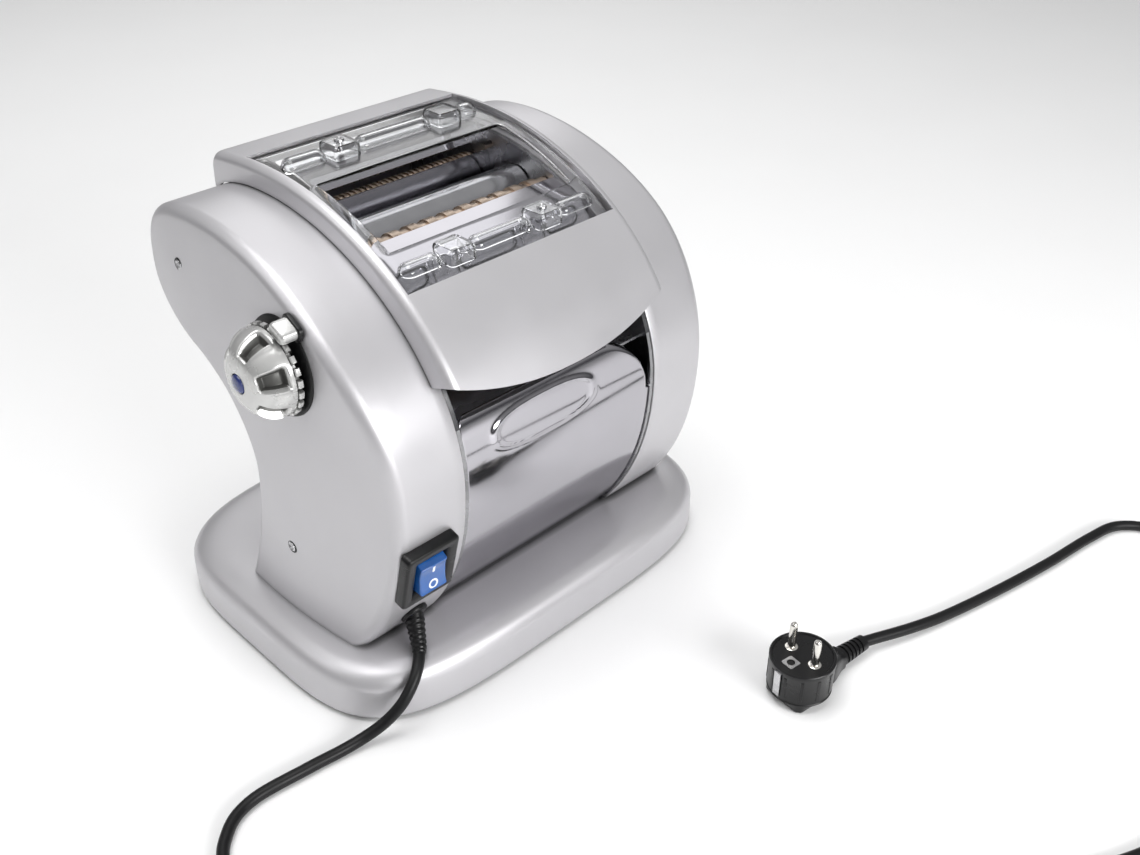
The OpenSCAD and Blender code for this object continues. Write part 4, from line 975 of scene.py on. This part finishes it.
def plug_drum():
    """From a rounded square at the back to the drum's circle, with a groove and a raised front edge."""
    loops = []
    for half, r, share, z in ((PLUG_BACK - 1.2, 19, 0, 0.5), (PLUG_BACK - 0.3, 19, 0, 0.7),
                              (PLUG_BACK, 19, 0, 1.3), (PLUG_BACK, 19, 0.1, 2.0),
                              (PLUG_BACK, 19.4, 0.5, 4.2), (PLUG_BACK, 19.6, 1.0, 6.6)):
        loop = []
        for x, y, _ in circle(1, 0, PLUG_TURNS):
            q = square_reach(x, y, half, PLUG_CORNER * half) * (1 - share) + r * share
            loop.append((q * x, q * y, z))
        loops.append(loop)
    loops += [circle(r, z, PLUG_TURNS) for r, z in (
        (19.6, 7.2), (19.2, 7.6), (19.2, 9.0), (19.6, 9.4), (19.7, 26.6), (19.95, 27.2),
        (19.95, PLUG_H - 0.5), (19.6, PLUG_H - 0.1), (19.0, PLUG_H), (18.3, PLUG_H - 0.1),
        (17.9, PLUG_FACE), (17.0, PLUG_FACE))]
    return rings(loops)


def make_plug():
    parts = [plug_drum()]
    # Vertical grip bars round the drum.
    for k in range(12):
        a = math.radians(15 + 30 * k)
        if abs(math.cos(a)) > 0.97:
            continue
        foot = [(r, a + w) for r, w in ((19.9, -0.045), (19.9, 0.045), (19.2, 0.06), (19.2, -0.06))]
        parts.append(rings([[(r * math.cos(t), r * math.sin(t), z) for r, t in foot] for z in (10.4, 25.6)]))
    body = piece("plug_shell", joined(*parts), "black_plastic", at=PLUG_FRAME, replaces="plug_body", sharp=35)

    # Neck: from the drum down to the strain relief.
    loops = []
    for k in range(17):
        x = 8 + 26 * k / 16
        ease = smooth_step(0.3, 1, k / 16)
        w = 12 * (1 - ease) + 6.5 * ease
        z0, z1 = 0.6 + 0.6 * ease, 21.2 * (1 - ease) + 14.0 * ease
        loops.append([(x, w / 10 * u, (z0 + z1) / 2 + (z1 - z0) / 20 * v)
                      for u, v in rounded_rect(10, 10, 5.5, 7)])
    neck = piece("plug_neck", rings(loops), "black_plastic", at=PLUG_FRAME, sharp=45)
    path, radii = [], []
    length = RELIEF_END - RELIEF_START
    for k in range(121):
        along = length * k / 120
        slot = (along % 3.4) < 1.3 and 2 < along < length - 2.5
        path.append((RELIEF_START + along, 0, RELIEF_Z))
        radii.append(6.4 - 1.4 * along / length - (0.9 if slot else 0.0))
    relief = piece("plug_strain_relief", tube_along(path, radii, 40), "black_plastic", at=PLUG_FRAME,
                   sharp=50)

    parts = []
    for y in (-PIN_SPREAD, PIN_SPREAD):
        for profile in ([(2.38, 0), (2.38, 16.4), (2.2, 17.5), (1.8, 18.3), (1.2, 18.9), (0.01, 19.0)],
                        [(3.9, 0), (3.9, 0.3), (3.5, 0.5), (2.3, 0.5)]):
            parts.append(shifted(lathe(profile, 40), 0, y, PLUG_FACE))
    pins = piece("plug_pin_pair", joined(*parts), "nickel", at=PLUG_FRAME, replaces="plug_pins", sharp=40)

    # Side contacts, and the plate round the earth hole.
    parts = []
    for side, low in ((-1, 9.2), (1, 24.4)):
        strip = [(19.9, low), (20.4, low + 0.6), (20.7, 26.4), (20.6, 27.4), (20.2, 27.9)]
        parts.append(rings([[(side * x, y, z) for y in (-2.4, -2.2, 2.2, 2.4)]
                            + [(side * (x - 0.6), y, z - 0.1) for y in (2.4, 2.2, -2.2, -2.4)]
                            for x, z in strip]))
    outer = [(x * q, y * q) for x, y, q in [(x, y, square_reach(x, y, 4.1, 5.4))
                                            for x, y, _ in circle(1, 0, PLUG_TURNS)]]
    hole = [(x, y) for x, y, _ in circle(2.5, 0, PLUG_TURNS)]
    plate = [[(u + EARTH_X, v, PLUG_FACE + lift) for u, v in line]
             for line, lift in ((outer, 0), (outer, 0.4), (hole, 0.4), (hole, 0.05))]
    parts.append(rings(plate, cap=False))
    clips = piece("plug_side_contacts", joined(*parts), "nickel", at=PLUG_FRAME, replaces="plug_earth_clips",
                  sharp=40, paint="screw_steel")
    # The dark socket of the earth pin shows through the plate.
    socket = lathe([(2.45, 0.3), (2.45, 0.02), (0.01, 0.02)], 40)
    socket = piece("plug_earth_socket", shifted(socket, EARTH_X, 0, PLUG_FACE), "black_rubber", at=PLUG_FRAME)
    return [body, neck, relief, pins, clips, socket]


plug_pieces = make_plug()

# --------------------------------------
# Clear guard over the feed opening: two strips on side rails, with hollow ridges and square bosses.

GUARD_Y = (-74.5, -50.0, 12.0, 63.5)
GUARD_X, RAIL_X = 75.5, 67
GUARD_BOSSES = ((-63.0, (-34.0, 31.0)), (38.0, (-32.0, 44.0)))
BOSS_CLEAR = 11
RIDGE_R, RIDGE_WALL, RIDGE_ENDS = 6.4, 1.4, (-71, 69)
RIDGE_TURNS = 16


def guard_z(y):
    return dome_z(min(y, 40.0), 11.6)


def guard_strip(x0, x1, y0, y1, ny, nx):
    pts = []
    for i in range(ny + 1):
        y = y0 + (y1 - y0) * i / ny
        pts += [(x0 + (x1 - x0) * j / nx, y, guard_z(y)) for j in range(nx + 1)]
    return pts, grid_faces(ny + 1, nx + 1)


def half_pipe(y, x0, x1):
    """A hollow ridge with rounded ends."""
    n = RIDGE_TURNS + 1
    skins = []
    for shrink in (0, RIDGE_WALL):
        r = RIDGE_R - shrink
        a0, a1 = x0 + shrink, x1 - shrink
        stations = [(a0 + r * 0.8 * (1 - math.cos(t)), math.sin(t)) for t in
                    [math.pi / 2 * k / 7 for k in range(1, 8)]]
        stations += [(a0 + a1 - x, s) for x, s in reversed(stations)]
        skins.append([(x, y + r * s * math.cos(math.pi * q / RIDGE_TURNS),
                       guard_z(y) - 0.5 + r * s * math.sin(math.pi * q / RIDGE_TURNS))
                      for x, s in stations for q in range(n)])
    rows = len(stations)
    total = rows * n
    faces = grid_faces(rows, n)
    faces += [tuple(total + i for i in face) for face in faces]
    rim = ([i * n for i in range(rows)] + [(rows - 1) * n + q for q in range(1, n)]
           + [i * n + n - 1 for i in range(rows - 2, -1, -1)] + list(range(n - 2, 0, -1)))
    return skins[0] + skins[1], faces + bridge(rim, [total + k for k in rim])


def guard_boss(x, y):
    """A hollow square boss. Its top and its ceiling are closed apart; the walls meet at the foot."""
    loops = [[(x + u, y + v, guard_z(y) + d) for u, v in rounded_rect(9 - i, 9 - i, corner)]
             for i, d, corner in ((0, -2.4, 2.2), (0.1, 4.5, 2.2), (0.4, 6.0, 2.2), (1.2, 6.9, 2.2),
                                  (2.6, 5.6, 1.4), (1.7, 4.6, 1.4), (1.4, 3.5, 1.4), (1.4, -2.4, 1.4))]
    pts, faces = rings(loops, cap=False)
    n = len(loops[0])
    top = 3
    faces = [face for k, face in enumerate(faces) if k // n != top]
    faces += [tuple(row * n + k for k in range(n)) for row in (top, top + 1)]
    return pts, faces + bridge(range(n), range(7 * n, 8 * n))


def make_guard():
    sheets = [guard_strip(-RAIL_X, RAIL_X, GUARD_Y[0], GUARD_Y[1], 12, 4),
              guard_strip(-RAIL_X, RAIL_X, GUARD_Y[2], GUARD_Y[3], 20, 4)]
    for x0, x1 in ((-GUARD_X, -RAIL_X), (RAIL_X, GUARD_X)):
        for k, ny in enumerate((12, 30, 20)):
            sheets.append(guard_strip(x0, x1, GUARD_Y[k], GUARD_Y[k + 1], ny, 1))
    plate = piece("guard_plate", joined(*sheets), "clear_plastic", replaces="feed_guard", sharp=180,
                  merge=0.05)
    thicken(plate, 1.9)
    soften(plate)
    ridges, bosses = [], []
    for y, centres in GUARD_BOSSES:
        ends = [RIDGE_ENDS[0], *[b + d for b in centres for d in (-BOSS_CLEAR, BOSS_CLEAR)], RIDGE_ENDS[1]]
        ridges += [half_pipe(y, x0, x1) for x0, x1 in zip(ends[::2], ends[1::2])]
        bosses += [guard_boss(x, y) for x in centres]
    piece("guard_ridges", joined(*ridges), "clear_plastic", sharp=35)
    piece("guard_bosses", joined(*bosses), "clear_plastic", sharp=35)


make_guard()


def make_guard_screws():
    head = [(0.01, 1.6), (1.6, 1.55), (2.7, 1.1), (3.1, 0.4), (3.1, 0.0), (1.7, 0.0), (1.7, -5.5),
            (0.01, -6.5)]
    parts = []
    for x, y in ((-32.0, 38.0), (31.0, -63.0)):
        pts, faces = lathe(head, 40)
        shaped = []
        for p in pts:
            dig = cross_cut(p, 2.3, 0.7, 0.8) if p[2] > 0.5 else 0
            shaped.append((p[0] + x, p[1] + y, p[2] - dig + guard_z(y) + 7.0))
        parts.append((shaped, faces))
    piece("guard_screw_pair", joined(*parts), "screw_steel", replaces="guard_screws", sharp=35)


make_guard_screws()


def make_feet():
    profile = [(0.01, 0.5), (5.5, 0.4), (7.6, 0.0), (8.8, 0.2), (9.4, 0.8), (9.9, 2.35), (0.01, 2.35)]
    feet = [shifted(lathe(profile, 48), x, y, 0) for x in (-126, 126) for y in (-90, 90)]
    piece("foot_pads", joined(*feet), "black_rubber", replaces="rubber_feet", sharp=35)


make_feet()

# --------------------------------------
# The CAD nodes that stay take their finish from their slots.

for part in frame["record"]["subparts"]:
    node = frame["nodes"][part["node"]]
    finish = MATERIALS[part["material_slot"]]
    if node.data.materials:
        for k in range(len(node.data.materials)):
            node.data.materials[k] = finish
    else:
        node.data.materials.append(finish)

# --------------------------------------
# Floor, light and sky.


FLOOR_HALF, FLOOR_Z = 2600.0, -0.05


def make_floor():
    n = 24
    ticks = [FLOOR_HALF * (2 * i / n - 1) for i in range(n + 1)]
    mesh = bpy.data.meshes.new("floor")
    points = [(x * MM, y * MM, FLOOR_Z * MM) for x in ticks for y in ticks]
    mesh.from_pydata(points, [], grid_faces(n + 1, n + 1))
    floor = bpy.data.objects.new("floor", mesh)
    bpy.context.scene.collection.objects.link(floor)
    mesh.materials.append(material("floor_white", (0.90, 0.90, 0.90), 0.0, 0.55, (300, 0.01, EVEN),
                                   (6, 0.004), (10, 0.03)))


make_floor()


def area_light(name, at, size, power, size_y=None):
    """A light aimed at the middle of the machine."""
    data = bpy.data.lights.new(name, "AREA")
    data.shape = "RECTANGLE"
    data.size = size
    data.size_y = size_y or size
    data.energy = power
    obj = bpy.data.objects.new(name, data)
    bpy.context.scene.collection.objects.link(obj)
    obj.location = at
    obj.rotation_mode = "QUATERNION"
    obj.rotation_quaternion = (Vector(LIGHT_TARGET) - Vector(at)).to_track_quat("-Z", "Y")


LIGHT_TARGET = (0, 0, 0.17)
area_light("key", (0.0, -1.6, 0.7), 1.0, 20, size_y=0.5)
area_light("top", (-0.2, 0.1, 1.9), 1.2, 20)
area_light("side", (-1.5, 0.8, 1.6), 1.0, 5)
area_light("back", (0.9, 1.2, 1.3), 1.0, 4)

bpy.context.scene.view_settings.view_transform = "Standard"
world = bpy.data.worlds.new("studio")
bpy.context.scene.world = world
world.use_nodes = True
tree = world.node_tree
background = tree.nodes["Background"]
# The sky is dark at the horizon and light overhead, like a studio with a bright ceiling.
HORIZON, OVERHEAD = (0.22, 0.22, 0.23, 1), (1, 1, 1, 1)
sky = tree.nodes.new("ShaderNodeTexCoord")
split = tree.nodes.new("ShaderNodeSeparateXYZ")
ceiling = tree.nodes.new("ShaderNodeValToRGB")
for element, at, tone in zip(ceiling.color_ramp.elements, (0.02, 0.75), (HORIZON, OVERHEAD)):
    element.position = at
    element.color = tone
tree.links.new(sky.outputs["Generated"], split.inputs["Vector"])
tree.links.new(split.outputs["Z"], ceiling.inputs["Fac"])
tree.links.new(ceiling.outputs["Color"], background.inputs["Color"])
background.inputs["Strength"].default_value = 0.5
